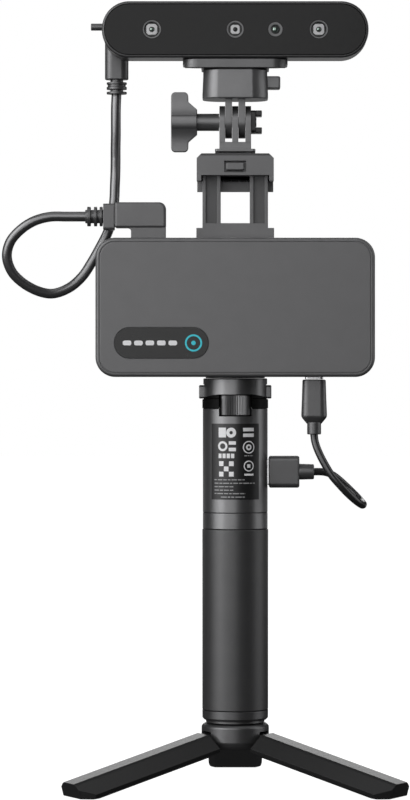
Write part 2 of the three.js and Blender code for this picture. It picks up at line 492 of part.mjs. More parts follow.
function buildBridgePlug() {
  const { depth, corner: r, notch } = PLUG;
  const outline = [[PLUG.left, PLUG.bottom], [PLUG.legLeft - notch, PLUG.bottom],
    [PLUG.legLeft, PLUG.bottom - notch], [PLUG.legLeft, BRIDGE.top + GAP],
    [PLUG.right, BRIDGE.top + GAP], [PLUG.right, PLUG.top - r],
    [PLUG.right - r * 0.3, PLUG.top - r * 0.3], [PLUG.right - r, PLUG.top], [PLUG.left, PLUG.top]];
  const body = prismY(outline, BRIDGE_Y - depth, BRIDGE_Y + depth);
  const tongue = box(PLUG.portX - SHELL_C.half, PLUG.portX + SHELL_C.half, BRIDGE_Y - SHELL_C.thin,
    BRIDGE_Y + SHELL_C.thin, BRIDGE.top - 6, BRIDGE.top + 1);
  add("bridge_plug", join(body, tongue), RUBBER());

  const cap = box(PLUG.capLeft, PLUG.left - GAP, BRIDGE_Y - depth, BRIDGE_Y + depth, PLUG.bottom - 1,
    PLUG.top - 0.8);
  const neck = cylinderX(RELIEF.neck, RELIEF.left, PLUG.capLeft + 1, BRIDGE_Y, PLUG_Z, 16);
  const ribs = RELIEF.ribStarts.map((start) => (cylinderX(RELIEF.rib, RELIEF.left + start,
    RELIEF.left + start + RELIEF.ribWidth, BRIDGE_Y, PLUG_Z, 16)));
  add("bridge_plug_strain_relief", join(cap, neck, ...ribs), RUBBER());
}

// ---- power lead ---------------------------------------------------------------------------
function buildPowerLead() {
  const y = USB_C.y;
  const right = [[USB_C.neckHalf, USB_C.neckBottom], [USB_C.neckHalf, USB_C.bodyBottom - USB_C.taper],
    [USB_C.bodyHalf, USB_C.bodyBottom], [USB_C.topHalf, USB_C.shellBottom]];
  const outline = [...right, ...right.map(([x, z]) => [-x, z]).reverse()];
  const body = prismY(outline.map(([x, z]) => [x + USB_C.x, z]), y - USB_C.depth / 2, y + USB_C.depth / 2);
  add("usb_c_plug", body, RUBBER());
  add("usb_c_shell", box(USB_C.x - SHELL_C.half, USB_C.x + SHELL_C.half, y - SHELL_C.thin, y + SHELL_C.thin,
    USB_C.shellBottom + 0.1, BRIDGE.bottom + 5.6), STEEL());

  const half = USB_A.height / 2;
  const grip = box(USB_A.inner + 0.6, USB_A.outer, -USB_A.depth / 2, USB_A.depth / 2,
    USB_A.z - half, USB_A.z + half);
  const neck = cylinderX(USB_A.neckRadius, USB_A.outer - 1, USB_A.neckEnd, 0, USB_A.z, 14);
  add("usb_a_plug", join(grip, neck), RUBBER());
  add("usb_a_shell", box(SHELL_A.end, USB_A.inner + GAP, -SHELL_A.thin, SHELL_A.thin,
    USB_A.z - SHELL_A.tall, USB_A.z + SHELL_A.tall), STEEL());
  add("power_cord", cord(POWER_CORD, POWER_CORD_DIAMETER, POWER_CORD_DIAMETER * 2), RUBBER());
}

// ---- battery handle -----------------------------------------------------------------------
// The collar's lower edge is level across the front and the back, and hangs lower at the sides.
function collarBody() {
  const { radius, top, bottom, skirtBottom, skirtInner, levelHalf } = COLLAR;
  const steps = 6;
  const edge = Array.from({ length: steps + 1 }, (_, i) => {
    const share = i / steps;
    return [levelHalf + share * (radius - levelHalf), bottom - (bottom - skirtBottom) * share * share];
  });
  const mirrored = [...edge].reverse().map(([x, z]) => [-x, z]);
  const below = [[-radius - 1, skirtBottom - 1], ...mirrored, ...edge, [radius + 1, skirtBottom - 1]];
  const skirt = tubeZ(skirtInner, radius, skirtBottom, bottom + 1, 0.1);
  return join(tubeZ(COLLAR.inner, radius, bottom, top, 0.6), cut(skirt, prismY(below, -20, 20)));
}

function buildHandle() {
  const topPlate = join(
    cylinderZ(HANDLE.discRadius, COLLAR.top + 0.1, HANDLE.discTop, 36),
    cylinderZ(STUD_RADIUS, HANDLE.discTop - 0.2, BRACKET.bottom + 6, 16));
  add("handle_top_plate", topPlate, MOULDED());

  const recessInner = LATCH.inner - LATCH.travel;
  const latchRecess = (side) => box(side > 0 ? recessInner : -20, side > 0 ? 20 : -recessInner,
    -LATCH.width / 2 - GAP, LATCH.width / 2 + GAP, COLLAR.bottom - 5, LATCH.top + GAP);
  add("handle_collar", cut(collarBody(), latchRecess(1), latchRecess(-1)), SATIN());
  for (const [name, side] of [["latch_left", -1], ["latch_right", 1]]) {
    const [x0, x1] = side > 0 ? [LATCH.inner, LATCH.outer] : [-LATCH.outer, -LATCH.inner];
    add(name, box(x0, x1, -LATCH.width / 2, LATCH.width / 2, LATCH.bottom, LATCH.top), SATIN());
  }

  const wheelRoom = cylinderZ(WHEEL.radius + 0.5, WHEEL.bottom - 0.4, WHEEL.top + 3, 32)
    .translate(0, WHEEL.y, 0);
  const wheelNotch = box(-WHEEL.notch, WHEEL.notch, -20, WHEEL.y, WHEEL.bottom - 0.4, WHEEL.top + 3);
  const stepZ = COLLAR.skirtBottom - 0.1;
  const neck = turned([[HANDLE.bore, HANDLE.barrelTop + 0.1], [HANDLE.neckRadius, HANDLE.barrelTop + 0.1],
    [HANDLE.neckRadius, stepZ - 0.5], [HANDLE.neckRadius - 0.5, stepZ], [COLLAR.skirtInner - 0.1, stepZ],
    [COLLAR.skirtInner - 0.1, COLLAR.bottom - 0.1], [HANDLE.bore, COLLAR.bottom - 0.1],
    [HANDLE.bore, HANDLE.barrelTop + 0.1]]);
  add("handle_neck", cut(neck, wheelRoom, wheelNotch, latchRecess(1), latchRecess(-1)), PANEL());
  const teeth = 28;
  const rim = Array.from({ length: teeth * 2 }, (_, i) => {
    const angle = Math.PI * i / teeth;
    const r = i % 2 ? WHEEL.radius - 0.35 : WHEEL.radius;
    return [r * Math.cos(angle), r * Math.sin(angle)];
  });
  add("lock_wheel", prismZ(rim, WHEEL.bottom, WHEEL.top).translate(0, WHEEL.y, 0), SATIN());

  const barrel = tubeZ(HANDLE.bore, HANDLE.radius, HANDLE.barrelBottom + 0.1, HANDLE.barrelTop, 0.3);
  const { thin, tall, room } = SHELL_A;
  const usbHole = box(10, 17, -thin - room, thin + room, USB_A.z - tall - room, USB_A.z + tall + room);
  const buttonHole = cylinderY(BUTTON.radius + GAP, 10, 17, 0, BUTTON.z);
  add("barrel", cut(barrel, wheelRoom, wheelNotch, usbHole, buttonHole), SATIN());
  add("power_button", cylinderY(BUTTON.radius, BUTTON.inner, BUTTON.outer, 0, BUTTON.z), MOULDED());

  const labelAngle = THREE.MathUtils.degToRad(LABEL.halfAngle);
  const arc = (r, reverse) => Array.from({ length: 13 }, (_, i) => {
    const angle = (reverse ? 1 : -1) * labelAngle * (1 - i / 6);
    return [r * Math.sin(angle), -r * Math.cos(angle)];
  });
  add("barrel_label", prismZ([...arc(HANDLE.radius + LABEL.outer, false),
    ...arc(HANDLE.radius + LABEL.inner, true)], LABEL.bottom, LABEL.top), PANEL());

  const { bore, radius, neckRadius, grooveRadius, gripTop, gripBottom } = HANDLE;
  add("middle_ring", tubeZ(bore, radius, gripTop + 0.1, HANDLE.barrelBottom, 0.3), SATIN());
  add("grip_sleeve", tubeZ(bore, neckRadius, gripBottom + 0.1, gripTop, 0.4), RUBBER());
  const endRing = turned([[STUD_RADIUS + GAP, HANDLE.grooveBottom], [grooveRadius, HANDLE.grooveBottom],
    [grooveRadius, HANDLE.ringBottom], [neckRadius - 1, HANDLE.ringBottom],
    [neckRadius, HANDLE.ringBottom + 1],
    [HANDLE.neckRadius, HANDLE.gripBottom], [STUD_RADIUS + GAP, HANDLE.gripBottom],
    [STUD_RADIUS + GAP, HANDLE.grooveBottom]]);
  add("end_ring", endRing, SATIN());
  const { radius: r, bottom, top, edge } = BATTERY;
  add("battery_cell", turned([[0, bottom], [r - edge, bottom], [r, bottom + edge], [r, top - edge],
    [r - edge, top], [0, top]], 24), PANEL());
  add("power_board", box(-POWER_BOARD.half, POWER_BOARD.half, POWER_BOARD.front,
    POWER_BOARD.front + POWER_BOARD.thickness, POWER_BOARD.bottom, POWER_BOARD.top), BOARD());
}

// ---- mini tripod --------------------------------------------------------------------------
function buildTripod() {
  const profile = turned([[0, HUB.bottom], ...HUB.edge, [HUB.radius, HUB.top - 1.2],
    [HUB.radius - 1.2, HUB.top], [0, HUB.top]]);
  const stud = cylinderZ(STUD_RADIUS, HUB.top - 1, HUB.top + 9, 16);
  const slot = (azimuth) => join(
    box(-LEG.tongue / 2 - GAP, LEG.tongue / 2 + GAP, HUB_SLOT.inner, HUB_SLOT.outer, HUB.bottom - 1,
      HUB_SLOT.top),
    cylinderX(PIN.radius + GAP, -PIN.boreHalf, PIN.boreHalf, LEG.pivotR, LEG.pivotZ, 16)).rotateZ(azimuth);

  const legs = [["rear", 0], ["left", 120], ["right", 240]]
    .map(([side, degrees]) => ({ side, azimuth: THREE.MathUtils.degToRad(degrees) }));
  add("tripod_hub", cut(join(profile, stud), ...legs.map((leg) => slot(leg.azimuth))), SATIN());

  const slope = THREE.MathUtils.degToRad(LEG.slope);
  const soleOffset = (LEG.footR - LEG.pivotR) * Math.sin(slope) - LEG.pivotZ * Math.cos(slope);
  const half = LEG.width / 2;
  const flank = [[LEG.sole / 2, 0], [half - 0.5, 1.4], [half, 3], [LEG.crown / 2 + 1, LEG.height - 0.8],
    [LEG.crown / 2 - 0.6, LEG.height]];
  const section = [...flank, ...[...flank].reverse().map(([v, w]) => [-v, w])];
  const tipCorner = [[half, LEG.length - LEG.tipTaper], [half + 2, LEG.length - LEG.tipTaper],
    [half + 2, LEG.length + 1], [LEG.tipHalf, LEG.length + 1], [LEG.tipHalf, LEG.length]];
  const tipCutters = [1, -1].map((sign) => prismZ(tipCorner.map(([v, u]) => [sign * v, u]), -30, 30));
  for (const { side, azimuth } of legs) {
    // the beam is made level at the pivot, then tipped about the pivot's axis to its slope
    const lifted = section.map(([v, w]) => [v, w + soleOffset]);
    const level = cut(prismY(lifted, LEG.start, LEG.length), ...tipCutters);
    const beam = level.rotateX(-slope).translate(0, LEG.pivotR, LEG.pivotZ);
    const trimmed = cut(beam, box(-30, 30, -20, 120, -30, 0));
    const tongueHalf = LEG.tongueHeight / 2;
    const tongueArc = Array.from({ length: 7 }, (_, i) => {
      const angle = Math.PI / 2 + Math.PI * i / 6;
      return [tongueHalf * Math.cos(angle), tongueHalf * Math.sin(angle)];
    });
    const tongueSide = [...tongueArc, [LEG.tongueEnd, -tongueHalf], [LEG.tongueEnd, tongueHalf]];
    const tongue = prismX(tongueSide, -LEG.tongue / 2, LEG.tongue / 2)
      .rotateX(-slope).translate(0, LEG.pivotR, LEG.pivotZ);
    const pinBore = cylinderX(PIN.radius + GAP, -PIN.boreHalf, PIN.boreHalf, LEG.pivotR, LEG.pivotZ, 16);
    const pin = cylinderX(PIN.radius, -PIN.half, PIN.half, LEG.pivotR, LEG.pivotZ, 12);
    add(`leg_${side}`, cut(join(trimmed, tongue), pinBore).rotateZ(azimuth), MOULDED());
    add(`leg_pin_${side}`, pin.rotateZ(azimuth), STEEL());
  }
}

buildHead();
buildScannerPlug();
buildQuickRelease();
buildTiltBase();
buildThumbscrew();
buildUpperJaw();
buildRails();
buildBracket();
buildBridge();
buildBridgePlug();
buildPowerLead();
buildHandle();
buildTripod();
add("scanner_cord_upper", cord(SCANNER_CORD_UPPER, CORD_DIAMETER, CORD_DIAMETER * 1.6), RUBBER());
add("scanner_cord_lower", cord(SCANNER_CORD_LOWER, CORD_DIAMETER, CORD_DIAMETER * 1.6), RUBBER());

// the feet's box is centred on the origin: one leg points to the rear and two to the front
const feet = new THREE.Box3();
for (const mesh of scanner.children.filter((child) => child.name.startsWith("leg_"))) {
  feet.expandByObject(mesh);
}
for (const mesh of scanner.children) {
  mesh.geometry.translate(0, -(feet.min.y + feet.max.y) / 2, 0);
}

export default scanner;
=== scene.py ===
# Looks of the handheld scanner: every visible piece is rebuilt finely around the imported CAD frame.
from math import cos, pi, radians, sin, sqrt

import bmesh
import bpy
from mathutils import Matrix, Vector


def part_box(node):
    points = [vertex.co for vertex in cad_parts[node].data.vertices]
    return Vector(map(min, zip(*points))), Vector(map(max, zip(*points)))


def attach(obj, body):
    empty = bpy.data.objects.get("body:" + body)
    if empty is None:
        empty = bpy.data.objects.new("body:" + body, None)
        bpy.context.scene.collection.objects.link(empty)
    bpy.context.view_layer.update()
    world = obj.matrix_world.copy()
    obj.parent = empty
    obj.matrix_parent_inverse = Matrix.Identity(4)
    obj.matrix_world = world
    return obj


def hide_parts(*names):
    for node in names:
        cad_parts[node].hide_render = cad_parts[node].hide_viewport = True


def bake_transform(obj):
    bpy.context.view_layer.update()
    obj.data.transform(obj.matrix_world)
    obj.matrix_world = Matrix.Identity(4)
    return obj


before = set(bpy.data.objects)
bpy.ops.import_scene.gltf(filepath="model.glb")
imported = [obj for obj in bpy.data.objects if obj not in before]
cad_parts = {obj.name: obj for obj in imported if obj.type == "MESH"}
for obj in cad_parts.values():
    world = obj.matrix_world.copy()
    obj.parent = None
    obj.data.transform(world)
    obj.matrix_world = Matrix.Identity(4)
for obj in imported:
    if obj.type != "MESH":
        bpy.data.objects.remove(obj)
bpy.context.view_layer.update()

# Shapes are worked out in millimetres from the handle's axis and the floor; piece() puts them in the frame.
MM = 0.001
AXIS_Y = sum(corner.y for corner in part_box("grip_sleeve")) / 2   # the handle's axis, in metres
TO_FRAME = Matrix.Translation((0, AXIS_Y, 0)) @ Matrix.Scale(MM, 4)
ORIGIN = Vector((0, 0, 0))


def at(x, y, z):
    """A point of the frame, in metres, given in millimetres."""
    return Vector((x * MM, AXIS_Y + y * MM, z * MM))


def box(node):
    """The low and high corners of a CAD node's box, in millimetres."""
    return [Vector((corner.x / MM, (corner.y - AXIS_Y) / MM, corner.z / MM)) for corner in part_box(node)]


def centre_of(node):
    low, high = box(node)
    return (low + high) / 2


def radius_of(node):
    """Half a node's width, which is the radius of a round one."""
    low, high = box(node)
    return (high.x - low.x) / 2


def put(node, values):
    """Sets the numbers of a shader node's sockets."""
    for socket, value in values.items():
        node.inputs[socket].default_value = value


# ---- camera, light and floor ----
CAMERA = {"distance": 1617, "height": 193.2, "lens": 157.5, "sensor": 36, "shift": (-0.0378, -0.04)}
FAR = 20
AIM_HEIGHT = 200
# Soft boxes: bearing (0 is the camera's side, 90 the right) and elevation in degrees, then distance, width
# and height in metres, then radiance.
SOFT_BOXES = {
    "key_left": (-62, 20, 1.6, 1.3, 1.9, 1.75),
    "key_wide": (-30, 20, 1.8, 2.6, 2.0, 1.45),
    "fill_right": (92, 20, 1.5, 1.1, 1.9, 1.1),
    "top": (0, 86, 1.6, 1.2, 1.2, 0.7),
    "backdrop": (180, 23, 2.2, 1.5, 0.8, 2.2),
}
FLOOR_GLOW = {"behind": 2600, "height": 5, "size": 3.6, "radiance": 0.45}
WHITE = (1, 1, 1, 1)
WORLD_LIGHT = (0.035, 0.035, 0.036, 1)
FLOOR = {"size": 6, "level": -0.0002, "colour": (0.25, 0.25, 0.25, 1), "roughness": 0.9}


def make_camera():
    data = bpy.data.cameras.new("camera")
    data.lens = CAMERA["lens"]
    data.sensor_width = CAMERA["sensor"]
    data.shift_x, data.shift_y = CAMERA["shift"]
    data.clip_end = FAR
    camera = bpy.data.objects.new("camera", data)
    camera.location = at(0, -CAMERA["distance"], CAMERA["height"])
    camera.rotation_euler = (pi / 2, 0, 0)
    bpy.context.scene.collection.objects.link(camera)
    bpy.context.scene.camera = camera


def area_light(name, location, width, height, radiance):
    data = bpy.data.lights.new(name, "AREA")
    data.shape = "RECTANGLE"
    data.size, data.size_y = width, height
    data.energy = radiance * pi * width * height
    light = bpy.data.objects.new(name, data)
    light.location = location
    light.visible_camera = False
    bpy.context.scene.collection.objects.link(light)
    return light


def make_lights():
    for name, (azimuth, elevation, distance, width, height, radiance) in SOFT_BOXES.items():
        a, e = radians(azimuth), radians(elevation)
        away = Vector((sin(a) * cos(e), -cos(a) * cos(e), sin(e)))
        light = area_light(name, at(0, 0, AIM_HEIGHT) + away * distance, width, height, radiance)
        light.rotation_mode = "QUATERNION"
        light.rotation_quaternion = away.to_track_quat("Z", "Y")
    # The lit floor behind the object, as the undersides see it.
    place, size = at(0, FLOOR_GLOW["behind"], FLOOR_GLOW["height"]), FLOOR_GLOW["size"]
    glow = area_light("floor_glow", place, size, size, FLOOR_GLOW["radiance"])
    glow.rotation_euler = (pi, 0, 0)


def make_world():
    """White where the camera sees it, and nearly dark where it lights the object."""
    world = bpy.data.worlds.new("studio")
    world.use_nodes = True
    nodes, links = world.node_tree.nodes, world.node_tree.links
    nodes.clear()
    path = nodes.new("ShaderNodeLightPath")
    mix = nodes.new("ShaderNodeMixShader")
    out = nodes.new("ShaderNodeOutputWorld")
    for socket, colour in ((1, WORLD_LIGHT), (2, WHITE)):
        sky = nodes.new("ShaderNodeBackground")
        put(sky, {"Color": colour})
        links.new(sky.outputs[0], mix.inputs[socket])
    links.new(path.outputs["Is Camera Ray"], mix.inputs["Fac"])
    links.new(mix.outputs[0], out.inputs["Surface"])
    bpy.context.scene.world = world


def make_floor():
    bm = bmesh.new()
    bmesh.ops.create_grid(bm, x_segments=1, y_segments=1, size=FLOOR["size"])
    mesh = bpy.data.meshes.new("floor")
    bm.to_mesh(mesh)
    bm.free()
    paint = bpy.data.materials.new("floor_paint")
    paint.use_nodes = True
    put(paint.node_tree.nodes["Principled BSDF"], {
        "Base Color": FLOOR["colour"], "Roughness": FLOOR["roughness"],
        "Emission Color": WHITE, "Emission Strength": 1})
    mesh.materials.append(paint)
    floor = bpy.data.objects.new("floor", mesh)
    floor.location = (0, 0, FLOOR["level"])
    floor.visible_diffuse = False
    floor.visible_glossy = False
    bpy.context.scene.collection.objects.link(floor)


def make_studio():
    make_world()
    make_lights()
    make_floor()
    view = bpy.context.scene.view_settings
    view.view_transform = "Standard"
    view.look = "None"


# ---- materials ----
CLOUD_SIZE = 12     # how many times coarser the colour's noise is than the fine grain
BUMP_STRENGTH = 0.5


def noise(nodes, links, where, scale, detail):
    made = nodes.new("ShaderNodeTexNoise")
    put(made, {"Scale": scale, "Detail": detail})
    links.new(where, made.inputs["Vector"])
    return made.outputs["Fac"]


def material(name, colour, roughness, metallic=0.0, mottle=0.12, grain=900, depth=0.02, streak=1.0, ior=1.5,
             spread=0.06):
    """A moulded or coated surface: noise in the piece's own space gives grain to colour, gloss and bump."""
    made = bpy.data.materials.new(name)
    made.use_nodes = True
    nodes, links = made.node_tree.nodes, made.node_tree.links
    shader = nodes["Principled BSDF"]
    put(shader, {"Metallic": metallic, "IOR": ior})
    stretch = nodes.new("ShaderNodeMapping")
    put(stretch, {"Scale": (1, 1, 1 / streak)})
    links.new(nodes.new("ShaderNodeTexCoord").outputs["Object"], stretch.inputs["Vector"])

    cloud = noise(nodes, links, stretch.outputs[0], grain / CLOUD_SIZE, 3)
    tint = nodes.new("ShaderNodeMix")
    tint.data_type = "RGBA"
    put(tint, {"A": (*[c * (1 - mottle) for c in colour], 1),
               "B": (*[min(1, c * (1 + mottle)) for c in colour], 1)})
    links.new(cloud, tint.inputs["Factor"])
    links.new(tint.outputs["Result"], shader.inputs["Base Color"])

    speck = noise(nodes, links, stretch.outputs[0], grain, 2)
    dull = nodes.new("ShaderNodeMapRange")
    put(dull, {"To Min": roughness - spread, "To Max": roughness + spread})
    links.new(speck, dull.inputs["Value"])
    links.new(dull.outputs["Result"], shader.inputs["Roughness"])
    bump = nodes.new("ShaderNodeBump")
    put(bump, {"Strength": BUMP_STRENGTH, "Distance": depth * MM})
    links.new(speck, bump.inputs["Height"])
    links.new(bump.outputs["Normal"], shader.inputs["Normal"])
    return made


def glowing(name, colour, strength):
    """A plain surface that gives a little light of its own."""
    made = material(name, colour, 0.35, depth=0.005)
    put(made.node_tree.nodes["Principled BSDF"],
        {"Emission Color": (*colour, 1), "Emission Strength": strength})
    return made


def grey(level):
    """A neutral colour with the look of a screen grey, 0 to 255."""
    value = (level / 255) ** 2.2
    return (value, value, value * 1.02)


SHELL = material("shell_plastic", grey(110), 0.4, 0.7, depth=0.012)
MOUNT = material("mount_plastic", grey(122), 0.4, 0.75, depth=0.01)
HEAD_SKIN = material("head_coating", grey(84), 0.34, 0.6, mottle=0.08, depth=0.008)
WINDOW = material("front_panel", grey(36), 0.2, mottle=0.04, grain=500, depth=0.002, ior=1.3)
CASE = material("case_paint", grey(112), 0.42, 0.5, mottle=0.06, grain=1400, depth=0.008)
BLACK = material("black_moulding", grey(60), 0.36, 0.5)
RUBBER = material("soft_black", grey(106), 0.38, 0.65, grain=700, depth=0.012)
PAD = material("pad_rubber", grey(22), 0.8, grain=400, depth=0.05)
BRUSHED = {"mottle": 0.05, "grain": 1500, "depth": 0.004, "streak": 6}
SATIN = material("satin_metal", grey(124), 0.36, 0.9, **BRUSHED)
END_SATIN = material("end_satin", grey(106), 0.38, 0.85, **BRUSHED)
GRIP = material("grip_coating", grey(92), 0.44, 0.75, mottle=0.08, grain=1600, depth=0.012)
GLOSS = material("gloss_black", grey(8), 0.2, mottle=0.05, depth=0.002)
STEEL = material("bright_steel", grey(205), 0.24, 1.0, mottle=0.06, grain=1200, depth=0.004, streak=4)
LABEL = material("label_film", grey(66), 0.4, 0.85, mottle=0.06, grain=1500, depth=0.003)
INK = material("white_ink", grey(245), 0.6, mottle=0.03, grain=1500, depth=0.004)
PRINT = material("fine_print", grey(165), 0.6, mottle=0.05, grain=1500, depth=0.004)
BOARD = material("board", (0.02, 0.12, 0.05), 0.35, mottle=0.3, grain=1500, depth=0.01)
WRAP = material("cell_wrap", (0.03, 0.1, 0.25), 0.3, mottle=0.1, grain=300, depth=0.01)
CORD = {"mottle": 0.04, "depth": 0.002, "spread": 0.02}
JACKET = material("cord_jacket", grey(124), 0.31, 0.85, **CORD)
LEAD = material("lead_jacket", grey(84), 0.3, 0.8, **CORD)
LEG_COAT = material("leg_moulding", grey(40), 0.34, mottle=0.1, depth=0.008, ior=1.47)
BADGE = material("badge_film", grey(34), 0.3, mottle=0.05, depth=0.003)
SENSOR = material("sensor_plate", grey(196), 0.4, 0.2, mottle=0.25, grain=2400)
RIM = material("window_rim", grey(110), 0.34, 0.6, mottle=0.05, grain=1500, depth=0.003)
LENS_COAT = material("coated_lens", (0.24, 0.3, 0.27), 0.08, 0.9, mottle=0.2, grain=300, depth=0.001)
NECK = material("neck_black", grey(8), 0.55, mottle=0.1, depth=0.004, ior=1.25)
# A darker grey for the strip in each rail's groove: painted shade for the groove's depth, not a colour of the
# rail.
GROOVE_SHADE = material("rail_groove_shade", grey(92), 0.46, 0.65, depth=0.012)
TEAL = glowing("status_light", (0.03, 0.42, 0.5), 0.35)


# ---- mesh tools ----
def place(axis, a, b, level):
    """A point of a section: a and b lie in the section, level runs along the axis."""
    return {"x": Vector((level, a, b)), "y": Vector((a, level, b)), "z": Vector((a, b, level))}[axis]


def arc(a, b, radius, first, last, steps):
    """Points of a circle about (a, b), from one angle to another in degrees."""
    angles = [radians(first + (last - first) * i / steps) for i in range(steps + 1)]
    return [(a + radius * cos(t), b + radius * sin(t)) for t in angles]


def corner_arcs(sides, back, r, steps, crease=0):
    """A rectangle's four corner arcs, centred back from its sides, each cut short at its ends by crease."""
    low_a, high_a, low_b, high_b = sides
    corners = [(high_a - back, low_b + back, -90), (high_a - back, high_b - back, 0),
               (low_a + back, high_b - back, 90), (low_a + back, low_b + back, 180)]
    arcs = [arc(a, b, r, first + crease, first + 90 - crease, steps) for a, b, first in corners]
    return sum(arcs, [])


def rounded_rectangle(low_a, high_a, low_b, high_b, radius, steps=12):
    """A function of inset that gives the outline's points, so that edges can be rounded by insetting it."""
    def outline(inset):
        r = max(radius - inset, 0.02)
        return corner_arcs((low_a, high_a, low_b, high_b), inset + r, r, steps)
    return outline


def outline_of(node, plane, radius, steps=12, grow=0):
    """The rounded outline of a CAD node's box in a plane, "xz" or "xy"."""
    low, high = box(node)
    b = "xyz".index(plane[1])
    return rounded_rectangle(low.x - grow, high.x + grow, low[b] - grow, high[b] + grow, radius, steps)


def creased_rectangle(low_a, high_a, low_b, high_b, reach, crease, steps=14):
    """Like a rounded rectangle, but each corner arc meets the flat sides at a small angle, in degrees."""
    c = radians(crease)
    def outline(inset):
        r = (reach - inset * 0.5) / (cos(c) - sin(c))
        return corner_arcs((low_a, high_a, low_b, high_b), r * cos(c) + inset, r, steps, crease)
    return outline


def fillet(radius, level, direction, steps=5):
    """Insets and levels of a quarter round that starts at the cap and ends on the side."""
    return [(radius * (1 - s), level + direction * radius * (1 - c)) for c, s in arc(0, 0, 1, 0, 90, steps)]


def skinned(rings, closed=False):
    """Rings of points joined one to the next: the last is joined to the first, or else both are capped."""
    bm = bmesh.new()
    rows = [[bm.verts.new(point) for point in ring] for ring in rings]
    pairs = list(zip(rows, rows[1:])) + ([(rows[-1], rows[0])] if closed else [])
    for first, second in pairs:
        count = max(len(first), len(second))
        for i in range(count):
            j = (i + 1) % count
            corners = [row[k % len(row)] for row, k in ((first, i), (first, j), (second, j), (second, i))]
            unique = list(dict.fromkeys(corners))
            if len(unique) > 2:
                bm.faces.new(unique)
    caps = [] if closed else [row for row in (rows[0], rows[-1]) if len(row) > 2]
    for row in caps:
        bm.faces.new(row)
    bmesh.ops.recalc_face_normals(bm, faces=bm.faces)
    return bm


def loft(outline, axis, levels, closed=False):
    """One outline carried along an axis, each ring at its inset and level."""
    rings = [[place(axis, a, b, level) for a, b in outline(inset)] for inset, level in levels]
    return skinned(rings, closed)


def band(outline, near, far, start, end):
    """A closed band that follows an outline, between two insets and two levels along y."""
    return loft(outline, "y", [(near, start), (near, end), (far, end), (far, start)], closed=True)


def soft_prism(outline, axis, start, end, edge_start, edge_end, steps=5):
    levels = fillet(edge_start, start, 1, steps) + list(reversed(fillet(edge_end, end, -1, steps)))
    return loft(outline, axis, levels)


def soft_box(low, high, radius, edge, axis="z"):
    """A box with rounded plan corners and rounded ends along one axis."""
    i, j, k = {"x": (1, 2, 0), "y": (0, 2, 1), "z": (0, 1, 2)}[axis]
    outline = rounded_rectangle(low[i], high[i], low[j], high[j], radius, 6)
    return soft_prism(outline, axis, low[k], high[k], edge, edge, 4)


def extruded(points, axis, start, end, bevel, segments=3, sharp=20):
    """A polygon carried along an axis, with its sharp edges rounded."""
    return bevelled(loft(lambda inset: points, axis, [(0, start), (0, end)]), bevel, segments, sharp)


def bevelled(bm, bevel, segments=3, sharp=20):
    edges = [e for e in bm.edges if len(e.link_faces) == 2 and e.calc_face_angle(0) > radians(sharp)]
    bmesh.ops.bevel(bm, geom=edges, offset=bevel, segments=segments, profile=0.5, affect="EDGES",
                    clamp_overlap=True)
    return bm


def cut_corner(before, corner, after, reach, shares):
    """Points of the curve that starts and ends at a reach from a corner, at shares of its way."""
    first = corner + (before - corner).normalized() * reach
    last = corner + (after - corner).normalized() * reach
    return [tuple(first * (1 - t) ** 2 + corner * 2 * t * (1 - t) + last * t ** 2) for t in shares]


def rounded_profile(points, radius, steps=4):
    """Softens each inner corner of a turned profile with a small arc."""
    result = [points[0]]
    for before, corner, after in zip(points, points[1:], points[2:]):
        corner, before, after = Vector(corner), Vector(before), Vector(after)
        reach = min(radius, (before - corner).length * 0.45, (after - corner).length * 0.45)
        result += cut_corner(before, corner, after, reach, [i / steps for i in range(steps + 1)])
    result.append(points[-1])
    return result


def turned(profile, centre=ORIGIN, axis="z", soften=0.2, segments=96, closed=False):
    """A solid of revolution: profile points are (radius, height), with heights along the axis from centre."""
    if soften > 0:
        profile = rounded_profile(profile, soften)
    rings = []
    for radius, height in profile:
        points = arc(0, 0, radius, 0, 360, segments)[:-1] if radius >= 0.001 else [(0, 0)]
        rings.append([Vector(centre) + place(axis, a, b, height) for a, b in points])
    return skinned(rings, closed)


def cylinder(radius, start, end, centre=ORIGIN, axis="z", soften=0, segments=64):
    return turned([(0, start), (radius, start), (radius, end), (0, end)], centre, axis, soften, segments)


def washer(inner, outer, start, end, centre, axis, segments=72):
    return turned([(inner, start), (outer, start), (outer, end), (inner, end)], centre, axis, 0, segments,
                  closed=True)


def pipe(inner, outer, z0, z1, edge=0.3, segments=128):
    """An open tube about the handle's axis."""
    profile = [Vector(corner) for corner in ((inner, z0), (outer, z0), (outer, z1), (inner, z1))]
    ring = []
    for i, corner in enumerate(profile):
        ring += cut_corner(profile[i - 1], corner, profile[(i + 1) % 4], edge, (0, 0.33, 0.67, 1))
    return turned(ring, soften=0, segments=segments, closed=True)


def between(first, last, start, end, t):
    return first * ((end - t) / (end - start)) + last * ((t - start) / (end - start))


def smooth_path(points, step=1.0):
    """Points of a smooth curve through the given ones, about a step apart."""
    ends = [points[0] * 2 - points[1], *points, points[-1] * 2 - points[-2]]
    path = []
    for p0, p1, p2, p3 in zip(ends, ends[1:], ends[2:], ends[3:]):
        t0 = 0.0
        t1 = t0 + (p1 - p0).length ** 0.5
        t2 = t1 + (p2 - p1).length ** 0.5
        t3 = t2 + (p3 - p2).length ** 0.5
        count = max(2, round((p2 - p1).length / step))
        for t in (t1 + (t2 - t1) * i / count for i in range(count)):
            a1 = between(p0, p1, t0, t1, t)
            a2 = between(p1, p2, t1, t2, t)
            a3 = between(p2, p3, t2, t3, t)
            b1 = between(a1, a2, t0, t2, t)
            b2 = between(a2, a3, t1, t3, t)
            path.append(between(b1, b2, t1, t2, t))
    path.append(points[-1].copy())
    return path


